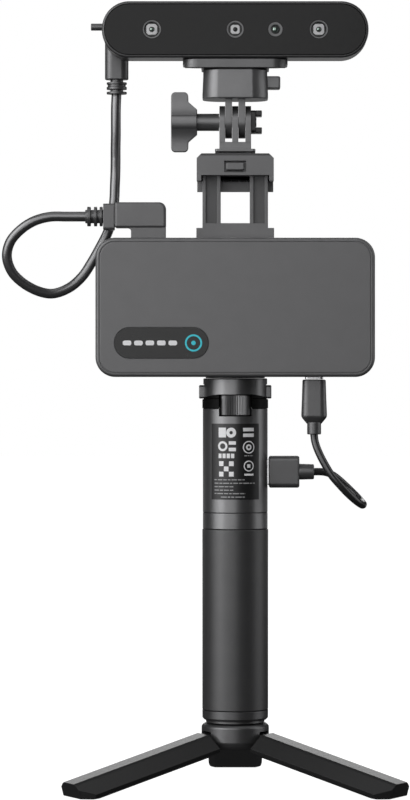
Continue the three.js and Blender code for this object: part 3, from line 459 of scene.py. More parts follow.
def tube(path, radius, sides=24):
    """A round tube along a path; each section is turned as little as possible from the last."""
    heading = (path[1] - path[0]).normalized()
    side = heading.orthogonal().normalized()
    circle = arc(0, 0, radius, 0, 360, sides)[:-1]
    rings = []
    for i, point in enumerate(path):
        ahead = (path[min(i + 1, len(path) - 1)] - path[max(i - 1, 0)]).normalized()
        side = heading.rotation_difference(ahead) @ side
        heading = ahead
        up = heading.cross(side)
        rings.append([point + side * a + up * b for a, b in circle])
    return skinned(rings)


def merged(*parts):
    """Several closed shells as one mesh."""
    whole = bmesh.new()
    for part in parts:
        mesh = bpy.data.meshes.new("part")
        part.to_mesh(mesh)
        part.free()
        whole.from_mesh(mesh)
        bpy.data.meshes.remove(mesh)
    return whole


def boolean(bm, operation, tools):
    """The mesh cut by, or joined with, each tool mesh in turn."""
    def temporary(source, name):
        mesh = bpy.data.meshes.new(name)
        source.to_mesh(mesh)
        source.free()
        obj = bpy.data.objects.new(name, mesh)
        bpy.context.scene.collection.objects.link(obj)
        return obj
    target = temporary(bm, "target")
    others = [temporary(tool, "tool") for tool in tools]
    for other in others:
        modifier = target.modifiers.new("boolean", "BOOLEAN")
        modifier.operation = operation
        modifier.solver = "EXACT"
        modifier.object = other
    depsgraph = bpy.context.evaluated_depsgraph_get()
    result = bmesh.new()
    result.from_object(target, depsgraph)
    for obj in (target, *others):
        mesh = obj.data
        bpy.data.objects.remove(obj)
        bpy.data.meshes.remove(mesh)
    return result


def carved(bm, *tools):
    return boolean(bm, "DIFFERENCE", tools)


def fused(bm, *tools):
    return boolean(bm, "UNION", tools)


def refined(node, bevel, segments=3, sharp=25):
    """A CAD node's own shape with its flat faces made whole and its sharp edges rounded."""
    bm = bmesh.new()
    bm.from_mesh(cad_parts[node].data)
    bmesh.ops.remove_doubles(bm, verts=bm.verts, dist=0.001 * MM)
    bmesh.ops.dissolve_limit(bm, angle_limit=radians(0.5), verts=bm.verts, edges=bm.edges)
    return moved(bevelled(bm, bevel * MM, segments, sharp), TO_FRAME.inverted())


def moved(bm, matrix):
    bmesh.ops.transform(bm, matrix=matrix, verts=bm.verts)
    return bm


def piece(name, bm, body, paint, node=None, sharp=38):
    """Puts a finished mesh in the frame, smooth except at its sharp edges, riding on its body."""
    bmesh.ops.recalc_face_normals(bm, faces=bm.faces)
    for face in bm.faces:
        face.smooth = True
    for edge in bm.edges:
        edge.smooth = not (len(edge.link_faces) == 2 and edge.calc_face_angle(0) > radians(sharp))
    moved(bm, TO_FRAME)
    mesh = bpy.data.meshes.new(name)
    bm.to_mesh(mesh)
    bm.free()
    mesh.materials.append(paint)
    obj = bpy.data.objects.new(name, mesh)
    bpy.context.scene.collection.objects.link(obj)
    weights = obj.modifiers.new("weights", "WEIGHTED_NORMAL")
    weights.keep_sharp = True
    if body:
        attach(obj, body)
    if node:
        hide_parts(node)
    return obj


# ---- cords ----
CORD_DIAMETER = 4.6
POWER_CORD_DIAMETER = 3.5
SCANNER_CORD_UPPER = [
    (-55.4, 15, 320.3), (-55.6, 14.2, 315), (-55.6, 12.4, 308.8), (-55.5, 9.8, 302), (-55.5, 6.4, 295),
    (-55.4, 3.3, 289),
]
SCANNER_CORD_LOWER = [
    (-55.4, 3, 288.5), (-55.4, 0.8, 283.2), (-55.6, -0.7, 277), (-55.8, -1.2, 271.3),
    (-56.8, -1.5, 262.8), (-58.6, -1.5, 256.4),
    (-63.1, -1.6, 247.5), (-66.2, -1.8, 242), (-70.5, -2.4, 235.5), (-76.4, -3.4, 230.3),
    (-83.8, -5, 227.5), (-89.8, -6.6, 228.3), (-97.1, -8.7, 232), (-102.5, -10.7, 237.4),
    (-104.7, -12.3, 244.2), (-103.1, -13.6, 250.9), (-98.5, -14.6, 256.3), (-92.2, -15.1, 260.4),
    (-84.9, -15.2, 262.4), (-77, -15.2, 262.5), (-69, -15.2, 262.5),
]
POWER_CORD = [
    (36.1, -15.2, 162.5), (36.4, -15.4, 160), (37.4, -16.2, 156.6), (39.2, -17, 152.5),
    (41.4, -17.8, 148.4), (44.2, -18.4, 143.9), (47.8, -18.4, 139.7), (52, -17, 135.3),
    (55.7, -14.2, 132.1), (58.1, -9.8, 130.4), (58.9, -4.8, 130.4), (58.3, 0.2, 131.3),
    (56.7, 3.6, 133.2), (54, 5.4, 135.9), (50.8, 5.8, 139), (48, 5.2, 141.5), (45.2, 3.9, 143.6),
    (42, 2, 144.9), (39.2, 0.6, 145.3), (36.8, 0, 145.3),
]


def run_on(path, reach=1.2):
    """The path carried on straight at both ends, into the plugs or into the next length."""
    before = path[0] + (path[0] - path[1]).normalized() * reach
    after = path[-1] + (path[-1] - path[-2]).normalized() * reach
    return [before, *path, after]


def make_cord(name, route, diameter, node, body, paint=JACKET):
    path = smooth_path([Vector(point) for point in route])
    obj = piece(name, tube(run_on(path), diameter / 2), body, paint, node, sharp=60)
    return obj


def make_cords():
    """The two scanner lengths meet beside the clamp; both stay where they are, on no body."""
    upper = make_cord("scanner_cord_top_length", SCANNER_CORD_UPPER, CORD_DIAMETER, "scanner_cord_upper",
                      None)
    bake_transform(upper)
    lower = make_cord("scanner_cord_loop", SCANNER_CORD_LOWER, CORD_DIAMETER, "scanner_cord_lower",
                      None)
    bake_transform(lower)
    make_cord("power_lead", POWER_CORD, POWER_CORD_DIAMETER, "power_cord", "handle",
              LEAD)


# ---- scanner head ----
HEAD_CORNER = 12.6
HEAD_WALL = 1.8
HEAD_LIP = 1.15        # the width of the housing's rim round the front panel
PANEL_GAP = 1.32       # from the housing's outline to the front panel's
# Each window: half the width of its plate and the radius of its lens as shares of the window's radius,
# the width of its rim in millimetres and the lens's finish.
INFRARED = {"plate": 0.59, "eye": 0.23, "rim": 0.8, "finish": LENS_COAT}
PROJECTOR = {"plate": 0.53, "eye": 0.2, "rim": 0.9, "finish": GLOSS}
COLOUR = {"plate": 0, "eye": 0.46, "rim": 1.25, "finish": LENS_COAT}
LENSES = {"ir_lens_left": INFRARED, "projector_window": PROJECTOR, "rgb_lens": COLOUR,
          "ir_lens_right": INFRARED}


def head_outline():
    low, high = box("head_shell")
    return outline_of("head_shell", "xz", HEAD_CORNER, 24), low.y, high.y


def build_head_shell():
    """A hollow housing, round at the back, with a socket for the plug and a seam near the back."""
    outline, front, back = head_outline()
    front_edge, rear_edge, seam = 0.9, 5, back - 6.6
    inside = [(HEAD_WALL + 2, back - 2), (HEAD_WALL, back - 3.5), (HEAD_WALL, front + 2.4),
              (HEAD_LIP, front + 2.3), (HEAD_LIP, front + 0.15), (HEAD_LIP - 0.1, front)]
    outside = fillet(front_edge, front, 1) + list(reversed(fillet(rear_edge, back, -1, 9)))
    shell = loft(outline, "y", inside + outside)
    middle = centre_of("head_shell").z
    socket = soft_box((-59.7, back - 7, middle - 2), (-50.8, back + 2, middle + 2), 1.9, 0.1, "y")
    piece("head_housing", carved(shell, socket), "head", HEAD_SKIN, "head_shell")
    piece("head_rear_seam", band(outline, -0.03, 0.6, seam, seam + 0.2), "head", GLOSS)


def build_head_panel():
    outline, front, _ = head_outline()
    panel = soft_prism(lambda inset: outline(inset + PANEL_GAP), "y", front + 0.12, front + 2.1, 0.25, 0.1)
    holes = [cylinder(radius_of(node), -4, 4, centre_of(node), "y") for node in LENSES]
    piece("head_window_panel", carved(panel, *holes), "head", WINDOW, "head_front_panel")


def build_lens(node, form):
    """A window: a bevelled ring, a dark well, and behind it a plate with a small lens, or one large lens."""
    outer, centre = radius_of(node), centre_of(node)
    centre.y = head_outline()[1]
    inner = outer - form["rim"]
    ring = [(outer - 0.02, 0.2), (outer - 0.1, -0.02), (inner + 0.25, 0), (inner + 0.05, 0.25), (inner, 1.6),
            (outer - 0.02, 1.6)]
    piece(f"{node}_ring", turned(ring, centre, "y", 0, 72, closed=True), "head", RIM)
    well = cylinder(outer - 0.85, 1.5, 2.6, centre, "y", 0.2, 48)
    piece(f"{node}_well", well, "head", GLOSS, node)
    eye_radius, eye_level = outer * form["eye"], 1.1
    if form["plate"]:
        eye_level = 0.6
        half = outer * form["plate"]
        cut = half * 0.65
        octagon = [(-cut, -half), (cut, -half), (half, -cut), (half, cut),
                   (cut, half), (-cut, half), (-half, cut), (-half, -cut)]
        plate = extruded([(centre.x + a, centre.z + b) for a, b in octagon], "y", centre.y + 0.55,
                         centre.y + 1.6, 0.12)
        piece(f"{node}_plate", plate, "head", SENSOR)
        collar = washer(eye_radius - 0.05, eye_radius + 0.3, 0.45, 0.7, centre, "y", 48)
        piece(f"{node}_collar", collar, "head", GLOSS)
    bulge = 0.6 * eye_radius
    dome = [(eye_radius * s, -bulge * c) for c, s in arc(0, 0, 1, 0, 90, 8)]
    eye = turned(dome + [(eye_radius, 0.8), (0, 0.8)], centre + Vector((0, eye_level, 0)), "y", 0, 48)
    piece(f"{node}_eye", eye, "head", form["finish"])


def strain_relief(start, direction, length, core, ribs):
    """A ribbed sleeve round a cord: each rib has a start and an end along it and a radius."""
    profile = [(0, 0), (core, 0)]
    for first, last, radius in ribs:
        profile += [(core, first), (radius, first), (radius, last), (core, last)]
    profile += [(core, length), (0, length)]
    turn = Vector((0, 0, 1)).rotation_difference(Vector(direction)).to_matrix().to_4x4()
    return moved(turned(profile, soften=0.25, segments=48), Matrix.Translation(start) @ turn)


def build_scanner_plug():
    body = soft_prism(rounded_rectangle(-60.7, -49.8, 10.6, 19, 3.6), "z", 327.5, 354, 0.5, 1.2)
    piece("scanner_plug_body", body, "head", RUBBER, "scanner_plug")
    tongue = soft_box((-59.4, 6, 347.05), (-51.1, 11.2, 349.65), 1.25, 0.1, "y")
    piece("scanner_plug_tongue", tongue, "head", STEEL)
    ribs = [(1.5, 2.5, 4.7), (2.5, 3.6, 4.2), (3.6, 4.9, 4.7), (5.9, 7, 4.7)]
    relief = strain_relief((-55.25, 15, 327.8), (0, 0, -1), 7, 3, ribs)
    piece("scanner_plug_relief", relief, "head", RUBBER)
    piece("scanner_plug_pin", cylinder(1.65, 0, 6.9, (-67.2, 13.5, 352), "x", 0.3, 32), "head", RUBBER)


def build_head():
    build_head_shell()
    build_head_panel()
    for node, form in LENSES.items():
        build_lens(node, form)
    build_scanner_plug()


# ---- quick release and tilt joint ----
TILT = Vector((0, 0, 306.7))
PRONG_RADIUS = 7.5
BOLT_HOLE = 2.75
BLOCK_BOTTOM = 317
BASE_TOP = 297.2
# Plates of the joint, with where each starts and ends across it.
FINGERS = {"finger_left": (-4.63, -1.49), "finger_right": (1.49, 4.63)}
PRONGS = {"prong_left": (-7.3, -4.7), "prong_middle": (-1.42, 1.42), "prong_right": (4.7, 7.3)}
NUT_LIPS = {"nut_lip_upper": (309.3, 311.9), "nut_lip_lower": (301.5, 304.1)}
KNOB_SHOULDER = -17.6


def bore():
    return cylinder(BOLT_HOLE, -20, 20, TILT, "x", segments=48)


def build_prongs(plates, root, body):
    """Plates that are round about the tilt axis and straight to their root, each with the bolt's hole."""
    outline = arc(0, TILT.z, PRONG_RADIUS, 0, 180 if root < TILT.z else -180, 28)
    outline += [(-PRONG_RADIUS, root), (PRONG_RADIUS, root)]
    for name, (start, end) in plates.items():
        plate = extruded(outline, "x", start, end, 0.15, sharp=30)
        piece(name, carved(plate, bore()), body, MOUNT)


def side_box(side, near, far, low, high, radius, edge, axis):
    """A soft box left (-1) or right (1) of the middle, from near to far; low and high are its y and z."""
    start, end = sorted((side * near, side * far))
    return soft_box((start, *low), (end, *high), radius, edge, axis)


def build_release_plate():
    low, high = box("quick_release_plate")
    plate = soft_prism(outline_of("quick_release_plate", "xy", 7), "z", low.z, high.z, 0.35, 0.35)
    undercuts = [side_box(side, 15.6, 26, (-9.5, low.z - 2), (high.y + 2, low.z + 1.8), 0.3, 0.1, "z")
                 for side in (-1, 1)]
    piece("release_plate", carved(plate, *undercuts), "head", SHELL, "quick_release_plate")


def build_release_block():
    """The quick release: a block that flares to its foot, two fingers under it and a button in its side."""
    low, high = box("mount_block")
    foot, flare = BLOCK_BOTTOM, 0.35
    outline = creased_rectangle(low.x + flare, high.x - flare, low.y + flare, high.y - flare, 7.2, 13)
    levels = [(0.5 - flare, foot), (0.15 - flare, foot + 0.1), (-flare, foot + 0.5), (-flare, foot + 2),
              (0, high.z - 3), (0, high.z - 0.5), (0.5, high.z)]
    low, high = box("release_button")
    gap, depth = Vector((0, 0.3, 0.3)), Vector((2.3, 0, 0))
    pocket = soft_box(low - gap - depth, high + gap, 0.6, 0.1, "x")
    block = carved(loft(outline, "z", levels), pocket)
    piece("release_block", block, "head", MOUNT, "mount_block", sharp=20)
    build_prongs(FINGERS, foot + 0.5, "head")
    key = soft_box(low, high, 0.7, 0.9, "x")
    piece("release_key", key, "release_button", MOUNT, "release_button")


def build_tilt_base():
    """A flange and foot with three prongs, and a seat with two lips that holds the nut."""
    foot = soft_box((-7.3, -7.5, 293.9), (7.3, 7.5, BASE_TOP), 0.3, 0.05)
    flange = soft_prism(rounded_rectangle(-9.3, 9.3, -9.3, 9.3, 1.2), "z", 292.7, 293.95, 0.2, 0.3)
    piece("tilt_foot", fused(foot, flange), "clamp_jaw", MOUNT, "tilt_base")
    build_prongs(PRONGS, BASE_TOP - 0.4, "clamp_jaw")
    wall = soft_box((7.2, -6, 301.5), (9.4, 6, 311.9), 1.5, 0.3, "x")
    piece("nut_seat", carved(wall, bore()), "clamp_jaw", BLACK)
    for name, (low, high) in NUT_LIPS.items():
        lip = soft_box((9.2, -5, low), (12.3, 5, high), 0.6, 0.35, "x")
        piece(name, lip, "clamp_jaw", BLACK)


def knob_outline(left, wing):
    """The knob seen from the front: a T of two wings on a waist, round at the wings' ends."""
    inner, corner, waist = -21.7, 1.9, 6.25
    upper = [(KNOB_SHOULDER, waist - 0.5), (inner + 0.1, waist + 3)]
    upper += arc(inner - corner, wing - corner, corner, 0, 90, 5)
    upper += arc(left + corner, wing - corner, corner, 90, 180, 5)
    return upper + [(x, -z) for x, z in reversed(upper)]


def shaped_blade(bm, half, hub, middle, shoulder, edge):
    """Gives a flat blade its half thickness: a round hub across it, then hollow slopes to thin tips."""
    levels = [hub * sin(pi / 2 * k / 6) for k in range(-6, 7)]
    for i in range(1, 8):
        level = hub + (half - hub) * i / 8
        levels += [level, -level]
    for level in levels:
        bmesh.ops.bisect_plane(bm, geom=[*bm.verts, *bm.edges, *bm.faces], plane_co=(0, 0, TILT.z + level),
                               plane_no=(0, 0, 1))
    for vert in bm.verts:
        z = abs(vert.co.z - TILT.z)
        if z < hub:
            vert.co.y *= shoulder + (middle - shoulder) * sqrt(1 - (z / hub) ** 2)
        else:
            vert.co.y *= edge + (shoulder - edge) * max(0, (half - z) / (half - hub)) ** 3
    return bm


def build_thumbscrew():
    low, high = box("thumbscrew_knob")
    half = (high.z - low.z) / 2
    outline = [(x, z + TILT.z) for x, z in knob_outline(low.x, half)]
    wings = shaped_blade(extruded(outline, "y", -1, 1, 0.3, 4, 40), half, 3.1, 5.4, 4.3, 2.5)
    piece("knob_wings", wings, "thumbscrew", MOUNT, "thumbscrew_knob", sharp=24)
    piece("knob_boss", washer(2.8, 4, KNOB_SHOULDER - 0.2, -7.45, TILT, "x", 64), "thumbscrew", MOUNT)
    low, high = box("thumbscrew_bolt")
    x, pitch, crest, root = 4.8, 0.8, 2.45, 2.15
    profile = [(0, low.x), (crest, low.x), (crest, x)]
    while x + pitch < high.x:
        profile += [(crest, x), (root, x + pitch / 2)]
        x += pitch
    profile += [(2.2, high.x), (0, high.x)]
    bolt = turned(profile, TILT, "x", 0, 40)
    piece("knob_bolt", bolt, "thumbscrew", STEEL, "thumbscrew_bolt")


# ---- phone clamp ----
PAD_RIBS = 9
PAD_SHEET = 0.5     # how far the sheet of a pad stands back from the tips of its ribs


def build_pad(node, body, below, above):
    """Ribs side by side on a thin sheet, which stands back from their tips below or above."""
    low, high = box(node)
    pitch, gap = (high.x - low.x) / PAD_RIBS, 0.15
    starts = [low.x + pitch * i for i in range(PAD_RIBS)]
    ribs = [soft_box((x + gap, low.y, low.z), (x + pitch - gap, high.y, high.z), 0.4, 0.35) for x in starts]
    sheet = soft_box((low.x, low.y, low.z + below), (high.x, high.y, high.z - above), 0.5, 0.2)
    piece(f"{node}_ribs", merged(sheet, *ribs), body, PAD, node)


def build_clamp():
    piece("jaw_housing", refined("upper_jaw", 0.35), "clamp_jaw", SHELL, "upper_jaw")
    key = soft_box(*box("jaw_button"), 0.8, 0.6, "y")
    piece("jaw_key", key, "jaw_button", SHELL, "jaw_button")
    for node in ("rail_left", "rail_right"):
        piece(f"{node}_bar", refined(node, 0.2), "clamp_jaw", SHELL, node)
    # A darker strip laid in each rail's groove: painted shade where the groove is deep.
    for node, side in (("rail_left", -1), ("rail_right", 1)):
        low, high = box(node)
        front, back = (low.y + 1.25, low.z + 4), (low.y + 1.5, high.z - 1)
        painted_shade_strip = side_box(side, 8.6, 13.4, front, back, 0.2, 0.02, "y")
        piece(f"{node}_inlay", painted_shade_strip, "clamp_jaw", GROOVE_SHADE)
    piece("bracket_frame", refined("clamp_bracket", 0.35), "handle", SHELL, "clamp_bracket")
    build_pad("upper_jaw_pad", "clamp_jaw", PAD_SHEET, 0)
    build_pad("lower_jaw_pad", "handle", 0, PAD_SHEET)


# ---- wireless bridge ----
BRIDGE_CORNER = 9
BRIDGE_WALL = 2
BRIDGE_SEAM = 0.3      # between the front cover and the rear shell


def build_bridge():
    """A front cover with a fine groove round its face, a rear shell, and a dark gasket between them."""
    low, high = box("bridge_front_cover")
    front, split, back = low.y, high.y, box("bridge_back_shell")[1].y
    outline = outline_of("bridge_front_cover", "xz", BRIDGE_CORNER, 20)
    chamfer, wall = 0.18, BRIDGE_WALL
    inside = [(wall + 4, front + 1.6), (wall, front + 2), (wall, split - 0.1), (wall, split)]
    outside = [(0.15, split), (0, split - chamfer)]
    outside += [(inset, front + depth) for inset, depth in (
        (0, 2), (0.12, 1.2), (0.4, 0.6), (0.75, 0.25), (1.1, 0.1), (1.55, 0.1), (1.7, 0.22), (1.75, 0.55),
        (2.1, 0.55), (2.15, 0.12), (2.35, 0))]
    cover = loft(outline, "y", inside + outside)
    around = outline_of("bridge_badge", "xz", 7.2, 16, grow=0.3)
    recess = soft_prism(around, "y", front - 1, front + 1, 0.1, 0.1)
    piece("bridge_cover", carved(cover, recess), "handle", CASE, "bridge_front_cover")

    start = split + BRIDGE_SEAM
    levels = [(wall + 3, back - 2.2), (wall, back - 3), (wall, start), (0.25, start), (0, start + chamfer)]
    shell = loft(outline, "y", levels + list(reversed(fillet(1.8, back, -1))))
    piece("bridge_rear_shell", shell, "handle", CASE, "bridge_back_shell")
    gasket = band(outline, 0.5, wall - 0.3, split - 0.3, start + 0.3)
    piece("bridge_seam", gasket, "handle", GLOSS)
    build_badge(front)


def build_badge(front):
    """A plate with a lit ring and dot, and a row of plain bars."""
    face = front + 0.2
    plate = soft_prism(outline_of("bridge_badge", "xz", 6.9, 16), "y", face, front + 0.9, 0.12, 0.05)
    radius, centre = radius_of("status_ring"), centre_of("status_ring")
    centre.y = face
    groove = washer(radius - 0.95, radius + 0.05, -1, 0.4, centre, "y")
    piece("badge_plate", carved(plate, groove), "handle", BADGE, "bridge_badge")
    ring = washer(radius - 0.85, radius - 0.05, -0.05, 0.38, centre, "y")
    dot = turned([(0, -0.08), (1, -0.04), (1.1, 0.1), (0, 0.1)], centre, "y", 0, 32)
    piece("status_ring_light", merged(ring, dot), "handle", TEAL, "status_ring")
    first, pitch, wide, tall = -51.2, 5.2, 3.9, 1.1
    low, high = (first, face - 0.06, centre.z - tall), (first + wide, face + 0.1, centre.z + tall)
    steps = [Matrix.Translation((pitch * i, 0, 0)) for i in range(5)]
    bars = [moved(soft_box(low, high, 0.8, 0.03, "y"), step) for step in steps]
    piece("level_bars", merged(*bars), "handle", INK)


def build_bridge_plug():
    """A right-angle plug: a rounded body along x, on a slightly slimmer leg that stands on the bridge."""
    low, high = box("bridge_plug")
    leg, under, r, small = -47.6, 257.2, 3, 1.6
    outline = [(low.x, under), (high.x, under), *arc(high.x - r, high.z - r, r, 0, 90, 6), (low.x, high.z)]
    body = extruded(outline, "y", low.y, high.y, 1.1, segments=5, sharp=40)
    foot = [(leg - small, under + 0.8), *arc(leg - small, under - small, small, 90, 0, 6), (leg, low.z),
            (high.x - 0.1, low.z), (high.x - 0.1, under + 0.8)]
    stem = extruded(foot, "y", low.y + 0.7, high.y - 0.7, 0.3, sharp=40)
    piece("bridge_plug_body", merged(body, stem), "handle", RUBBER, "bridge_plug")

    cap = soft_box((-60.3, low.y, 256.3), (low.x - 0.12, high.y, high.z - 0.6), 1.2, 0.25, "x")
    ribs = [(0.6, 1.9, 4.5), (3.1, 4.5, 4.5), (6, 7.6, 4.5)]
    sleeve = strain_relief((-60.1, (low.y + high.y) / 2, 262.5), (-1, 0, 0), 8.5, 3.1, ribs)
    collar_high = (low.x + 0.6, high.y - 0.5, high.z - 0.7)
    collar = soft_box((low.x - 0.6, low.y + 0.5, 257.7), collar_high, 1, 0.05, "x")
    relief = merged(cap, sleeve, collar)
    piece("bridge_plug_relief", relief, "handle", RUBBER, "bridge_plug_strain_relief")


def build_power_lead():
    """The two plugs of the power lead, each an overmould with a round neck and a steel shell."""
    low, high = box("usb_c_plug")
    middle = centre_of("usb_c_plug")
    neck = cylinder(3.2, low.z, 168.5, (middle.x, middle.y, 0), "z", 0.5, 48)
    levels = [(2.9, 167.4), (2.3, 168), (1.3, 169.2), (0.5, 170.2), (0.12, 170.8), (0, 171.6), (0.3, 179),
              (0.55, high.z - 0.6), (0.75, high.z - 0.15), (1.2, high.z)]
    grip = loft(outline_of("usb_c_plug", "xy", 3.3, 10), "z", levels)
    piece("usb_c_overmould", merged(neck, grip), "handle", RUBBER, "usb_c_plug")
    piece("usb_c_tongue", soft_box(*box("usb_c_shell"), 1.28, 0.15), "handle", STEEL, "usb_c_shell")

    grip = soft_box((15.5, -4, 137.95), (29.6, 4, 152.65), 2.2, 0.9, "x")
    neck = turned([(0, 0), (3.7, 0), (3.5, 7), (0, 7)], (29.4, 0, 145.3), "x", 0.6, 48)
    piece("usb_a_overmould", merged(grip, neck), "handle", RUBBER, "usb_a_plug")
    piece("usb_a_tongue", soft_box(*box("usb_a_shell"), 0.5, 0.1, "x"), "handle", STEEL, "usb_a_shell")


# ---- battery handle ----
BORE = 12.6
GAP = 0.3              # clearance round a moving part
COLLAR_LEVEL = 181.1   # where the collar's skirt ends at the front
SKIRT_FLAT = 6.5       # how far that edge runs level from the middle
LATCH_ROOM = (11.4, 20)
LABEL_RADIUS = 14.98
LABEL_REACH = LABEL_RADIUS * radians(46)


def wheel_room():
    """The round space inside the handle for the wheel."""
    low, high = box("lock_wheel")
    middle, radius = centre_of("lock_wheel"), radius_of("lock_wheel") + 0.4
    return cylinder(radius, low.z - 0.35, high.z + 4, (middle.x, middle.y, 0), segments=96)


def wheel_notch():
    """The slot in the front of the handle that shows the whole wheel."""
    low, high = box("lock_wheel")
    return soft_box((low.x - GAP, -20, low.z - GAP), (high.x + GAP, -7.2, high.z + 4), 0.4, 0.1, "y")


def latch_recesses(bottom, top):
    low, high = box("latch_right")
    return [side_box(side, *LATCH_ROOM, (low.y - GAP, bottom), (high.y + GAP, top), 0.5, 0.1, "x")
            for side in (-1, 1)]


def arch_cutter(bottom, level, radius):
    """What is cut from the collar's skirt, whose edge is level in front and hangs lower at the sides."""
    edge = []
    for share in (i / 12 for i in range(13)):
        edge.append((SKIRT_FLAT + share * (radius - SKIRT_FLAT), level - (level - bottom) * share * share))
    below = [(-radius - 1, bottom - 1)] + [(-x, z) for x, z in reversed(edge)] + edge
    below.append((radius + 1, bottom - 1))
    return extruded(below, "y", -20, 20, 0.01, 1, 170)


def build_collar():
    top = box("handle_top_plate")[1].z
    disc, stud = 13.65, 3.1
    profile = [(0, 188.5), (disc, 188.5), (disc, 189.1), (stud, 189.1), (stud, top), (0, top)]
    piece("top_disc", turned(profile, soften=0.15), "handle", BLACK, "handle_top_plate")

    low, high = box("handle_collar")
    latch_low, latch_high = box("latch_right")
    outer = radius_of("handle_collar")
    skirt = pipe(14.35, outer, low.z, COLLAR_LEVEL + 1, 0.1)
    skirt = carved(skirt, arch_cutter(low.z, COLLAR_LEVEL, outer))
    whole = fused(pipe(9, outer, COLLAR_LEVEL, high.z, 0.5), skirt)
    collar = carved(whole, *latch_recesses(latch_low.z - 8, latch_high.z + GAP))
    piece("collar_ring", collar, "handle", SATIN, "handle_collar")
    for node in ("latch_left", "latch_right"):
        piece(f"{node}_key", soft_box(*box(node), 0.9, 0.5, "x"), node, SATIN, node)


def build_neck():
    low, high = box("handle_neck")
    radius, step = radius_of("handle_neck"), box("handle_collar")[0].z - 0.1
    neck = turned([(BORE, low.z), (radius, low.z), (radius, step - 0.9), (radius - 0.2, step - 0.3),
                   (radius - 0.7, step), (14.25, step), (14.25, high.z), (BORE, high.z)],
                  soften=0, segments=128, closed=True)
    recesses = latch_recesses(box("latch_right")[0].z - GAP, high.z + 2)
    neck = carved(neck, wheel_room(), wheel_notch(), *recesses)
    piece("neck_band", neck, "handle", NECK, "handle_neck")


def build_lock_wheel():
    low, high = box("lock_wheel")
    centre, radius = centre_of("lock_wheel"), radius_of("lock_wheel")
    teeth, steps, depth = 56, 4, 0.35
    def outline(inset):
        points = []
        for i in range(teeth * steps):
            angle = 2 * pi * i / (teeth * steps)
            r = radius - inset - depth * (0.5 - 0.5 * cos(teeth * angle))
            points.append((centre.x + r * cos(angle), centre.y + r * sin(angle)))
        return points
    wheel = soft_prism(outline, "z", low.z, high.z, 0.5, 0.5, 3)
    piece("knurled_wheel", wheel, "lock_wheel", SATIN, "lock_wheel", sharp=60)


def build_barrel():
    low, high = box("barrel")
    barrel = pipe(BORE, radius_of("barrel"), low.z, high.z, segments=160)
    usb = soft_box((10, -2.6, 138.9), (17, 2.6, 151.7), 0.8, 0.1, "x")
    centre, radius = centre_of("power_button"), radius_of("power_button")
    hole = cylinder(radius + GAP, -4, 4, centre, "y")
    barrel = carved(barrel, wheel_room(), wheel_notch(), usb, hole)
    piece("barrel_tube", barrel, "handle", SATIN, "barrel")
    profile = [(0, -1.4), (radius, -1.4), (radius, 1), (radius - 0.8, 1.4), (0, 1.15)]
    cap = turned(profile, centre, "y", 0.25, 64)
    piece("power_key", cap, "power_button", BLACK, "power_button")


def wrapped(pairs, radius, thickness):
    """A strip of (x, z) point pairs bent round the handle's front at a radius, as a thin closed solid."""
    def bent(point, r):
        x, z = point
        return (r * sin(x / radius), -r * cos(x / radius), z)
    outer = radius + thickness
    return skinned([[bent(a, radius), bent(a, outer), bent(b, outer), bent(b, radius)] for a, b in pairs])


def bar_mark(x0, x1, z0, z1):
    """A bar: x runs round the handle and z up it."""
    count = max(1, round((x1 - x0) / 0.6))
    return [[(x0 + (x1 - x0) * i / count, z) for z in (z0, z1)] for i in range(count + 1)]


def ring_mark(x, z, size, line):
    """A ring, open by a hair at one side so that it is one strip."""
    angles = [2 * pi * k / 32 for k in range(32)] + [1.999 * pi]
    return [[(x + r * cos(a), z + r * sin(a)) for r in (size - line, size)] for a in angles]


def dash_row(x, end, z, lengths, tall=0.44, gap=0.45):
    """A row of short bars, about as long as words."""
    marks = []
    while x < end:
        stop = min(x + lengths[len(marks) % len(lengths)], end)
        marks.append(bar_mark(x, stop, z - tall / 2, z + tall / 2))
        x = stop + gap
    return marks


def label_marks():
    """Plain geometric signs in two columns: blocks, rings and squares that stand for no real mark."""
    marks = [bar_mark(-7.9, -4.3, 161.4, 165.9)]
    marks += [ring_mark(-1.9, 163.6, 2.3, 1.5), ring_mark(-5.9, 157.4, 2.3, 1)]
    marks += [bar_mark(-3, 0.3, z - 0.8, z + 0.8) for z in (158.9, 155.9)]
    marks += [bar_mark(x - 0.75, x + 0.75, 151.9, 154) for x in (-7.2, -5.2, -3.2, -1.2)]
    chequer = [(-6.6 + 2.4 * column, 149.4 - 2.4 * row)
               for row in range(3) for column in range(3) if (row + column) % 2 == 0]
    marks += [bar_mark(x - 1.1, x + 1.1, z - 1.1, z + 1.1) for x, z in chequer]
    marks += [bar_mark(3.6, 9, z - 0.8, z + 0.8) for z in (165, 162.4)]
    marks += [ring_mark(6.4, *ring) for ring in ((156.9, 2.9, 0.5), (156.9, 1.4, 0.8), (148.3, 2.5, 0.5))]
    return marks + [bar_mark(5.6, 7.2, 147.5, 149.1), bar_mark(4.2, 8.8, 143.9, 144.8)]


def label_print():
    """Rows of short dashes below the signs, which spell nothing."""
    top, pitch = 142, 1.58
    rows = [(-10.2, 4.4, (1.3, 2.4, 1.7)), (-10.2, 9.6, (2.2, 1.5, 2.8, 1)), (-10.2, -0.9, (1.8, 2.6)),
            (-10.2, -0.9, (2.4, 1.6)), (-10.2, 4.8, (1.1, 3, 2)), (-6.8, 4.4, (2.9, 1.2, 1.4))]
    marks = dash_row(4.2, 8.8, 153, (1.2, 0.8))
    for i, (first, last, lengths) in enumerate(rows):
        marks += dash_row(first, last, top - pitch * i, lengths)
    return marks


def build_barrel_label():
    low, high = box("barrel_label")
    film = wrapped(bar_mark(-LABEL_REACH, LABEL_REACH, low.z, high.z), LABEL_RADIUS, 0.1)
    piece("label_film", film, "handle", LABEL, "barrel_label")
    for name, marks, paint in (("label_marks", label_marks(), INK), ("label_print", label_print(), PRINT)):
        shells = [wrapped(pairs, LABEL_RADIUS + 0.05, 0.07) for pairs in marks]
        piece(name, merged(*shells), "handle", paint)


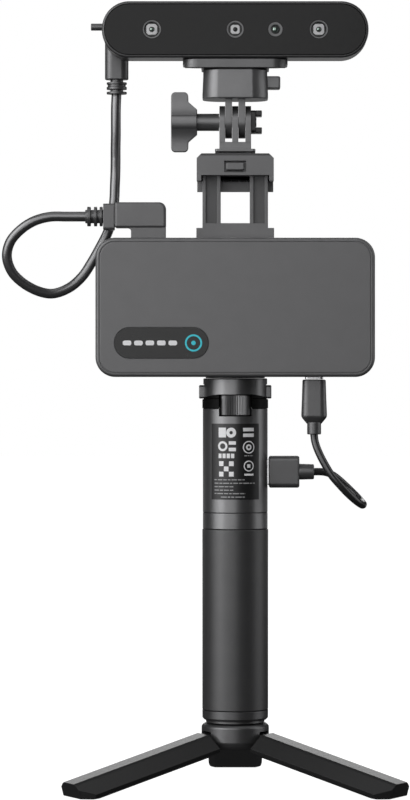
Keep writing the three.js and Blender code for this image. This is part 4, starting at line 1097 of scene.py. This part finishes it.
def build_bands():
    for node, name, paint, edge in (("middle_ring", "middle_band", SATIN, 0.35),
                                    ("grip_sleeve", "grip_tube", GRIP, 0.5)):
        low, high = box(node)
        piece(name, pipe(BORE, radius_of(node), low.z, high.z, edge, 160), "handle", paint, node)
    ring = turned([(3.4, 29.9), (13.5, 29.9), (13.5, 31), (14.3, 31.05), (15.15, 32), (15.2, 35.55),
                   (3.4, 35.6)], soften=0.12, segments=128, closed=True)
    piece("end_band", ring, "handle", END_SATIN, "end_ring")


def build_handle():
    build_collar()
    build_neck()
    build_lock_wheel()
    build_barrel()
    build_barrel_label()
    build_bands()


# ---- mini tripod ----
def build_tripod():
    """The hub with a slot for each leg, and the three legs."""
    low, high = box("tripod_hub")
    radius, foot, top, stud = high.x, low.z, 29.3, 3.1
    hub = turned([(0, foot), (13.7, foot), (14.9, foot + 1.5), (radius, foot + 3.3), (radius, top - 1.2),
                  (14.4, top), (stud, top), (stud, high.z), (0, high.z)], soften=0.5, segments=128)
    slots = [moved(soft_box((-3.8, 6.3, 17), (3.8, 20, 26.15), 0.4, 0.05, "y"),
                   Matrix.Rotation(radians(degrees), 4, "Z")) for degrees in (0, 120, 240)]
    piece("hub_body", carved(hub, *slots), "tripod", END_SATIN, "tripod_hub")
    for node in ("leg_rear", "leg_left", "leg_right"):
        piece(f"{node}_beam", refined(node, 0.55, sharp=12), node, LEG_COAT, node)


# The inner pieces and small hardware keep their CAD shape and take a finish of their own.
HARDWARE = {
    STEEL: ("optics_rail", "head_screw", "tilt_nut", "leg_pin_rear", "leg_pin_left", "leg_pin_right"),
    BOARD: ("head_circuit_board", "bridge_circuit_board", "power_board"),
    WRAP: ("battery_cell",),
}


def paint_cad_nodes():
    for paint, nodes in HARDWARE.items():
        for node in nodes:
            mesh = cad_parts[node].data
            mesh.materials.clear()
            mesh.materials.append(paint)


make_camera()
make_studio()
build_head()
build_bridge_plug()
build_power_lead()
make_cords()
build_release_plate()
build_release_block()
build_tilt_base()
build_thumbscrew()
build_clamp()
build_bridge()
build_handle()
build_tripod()
paint_cad_nodes()
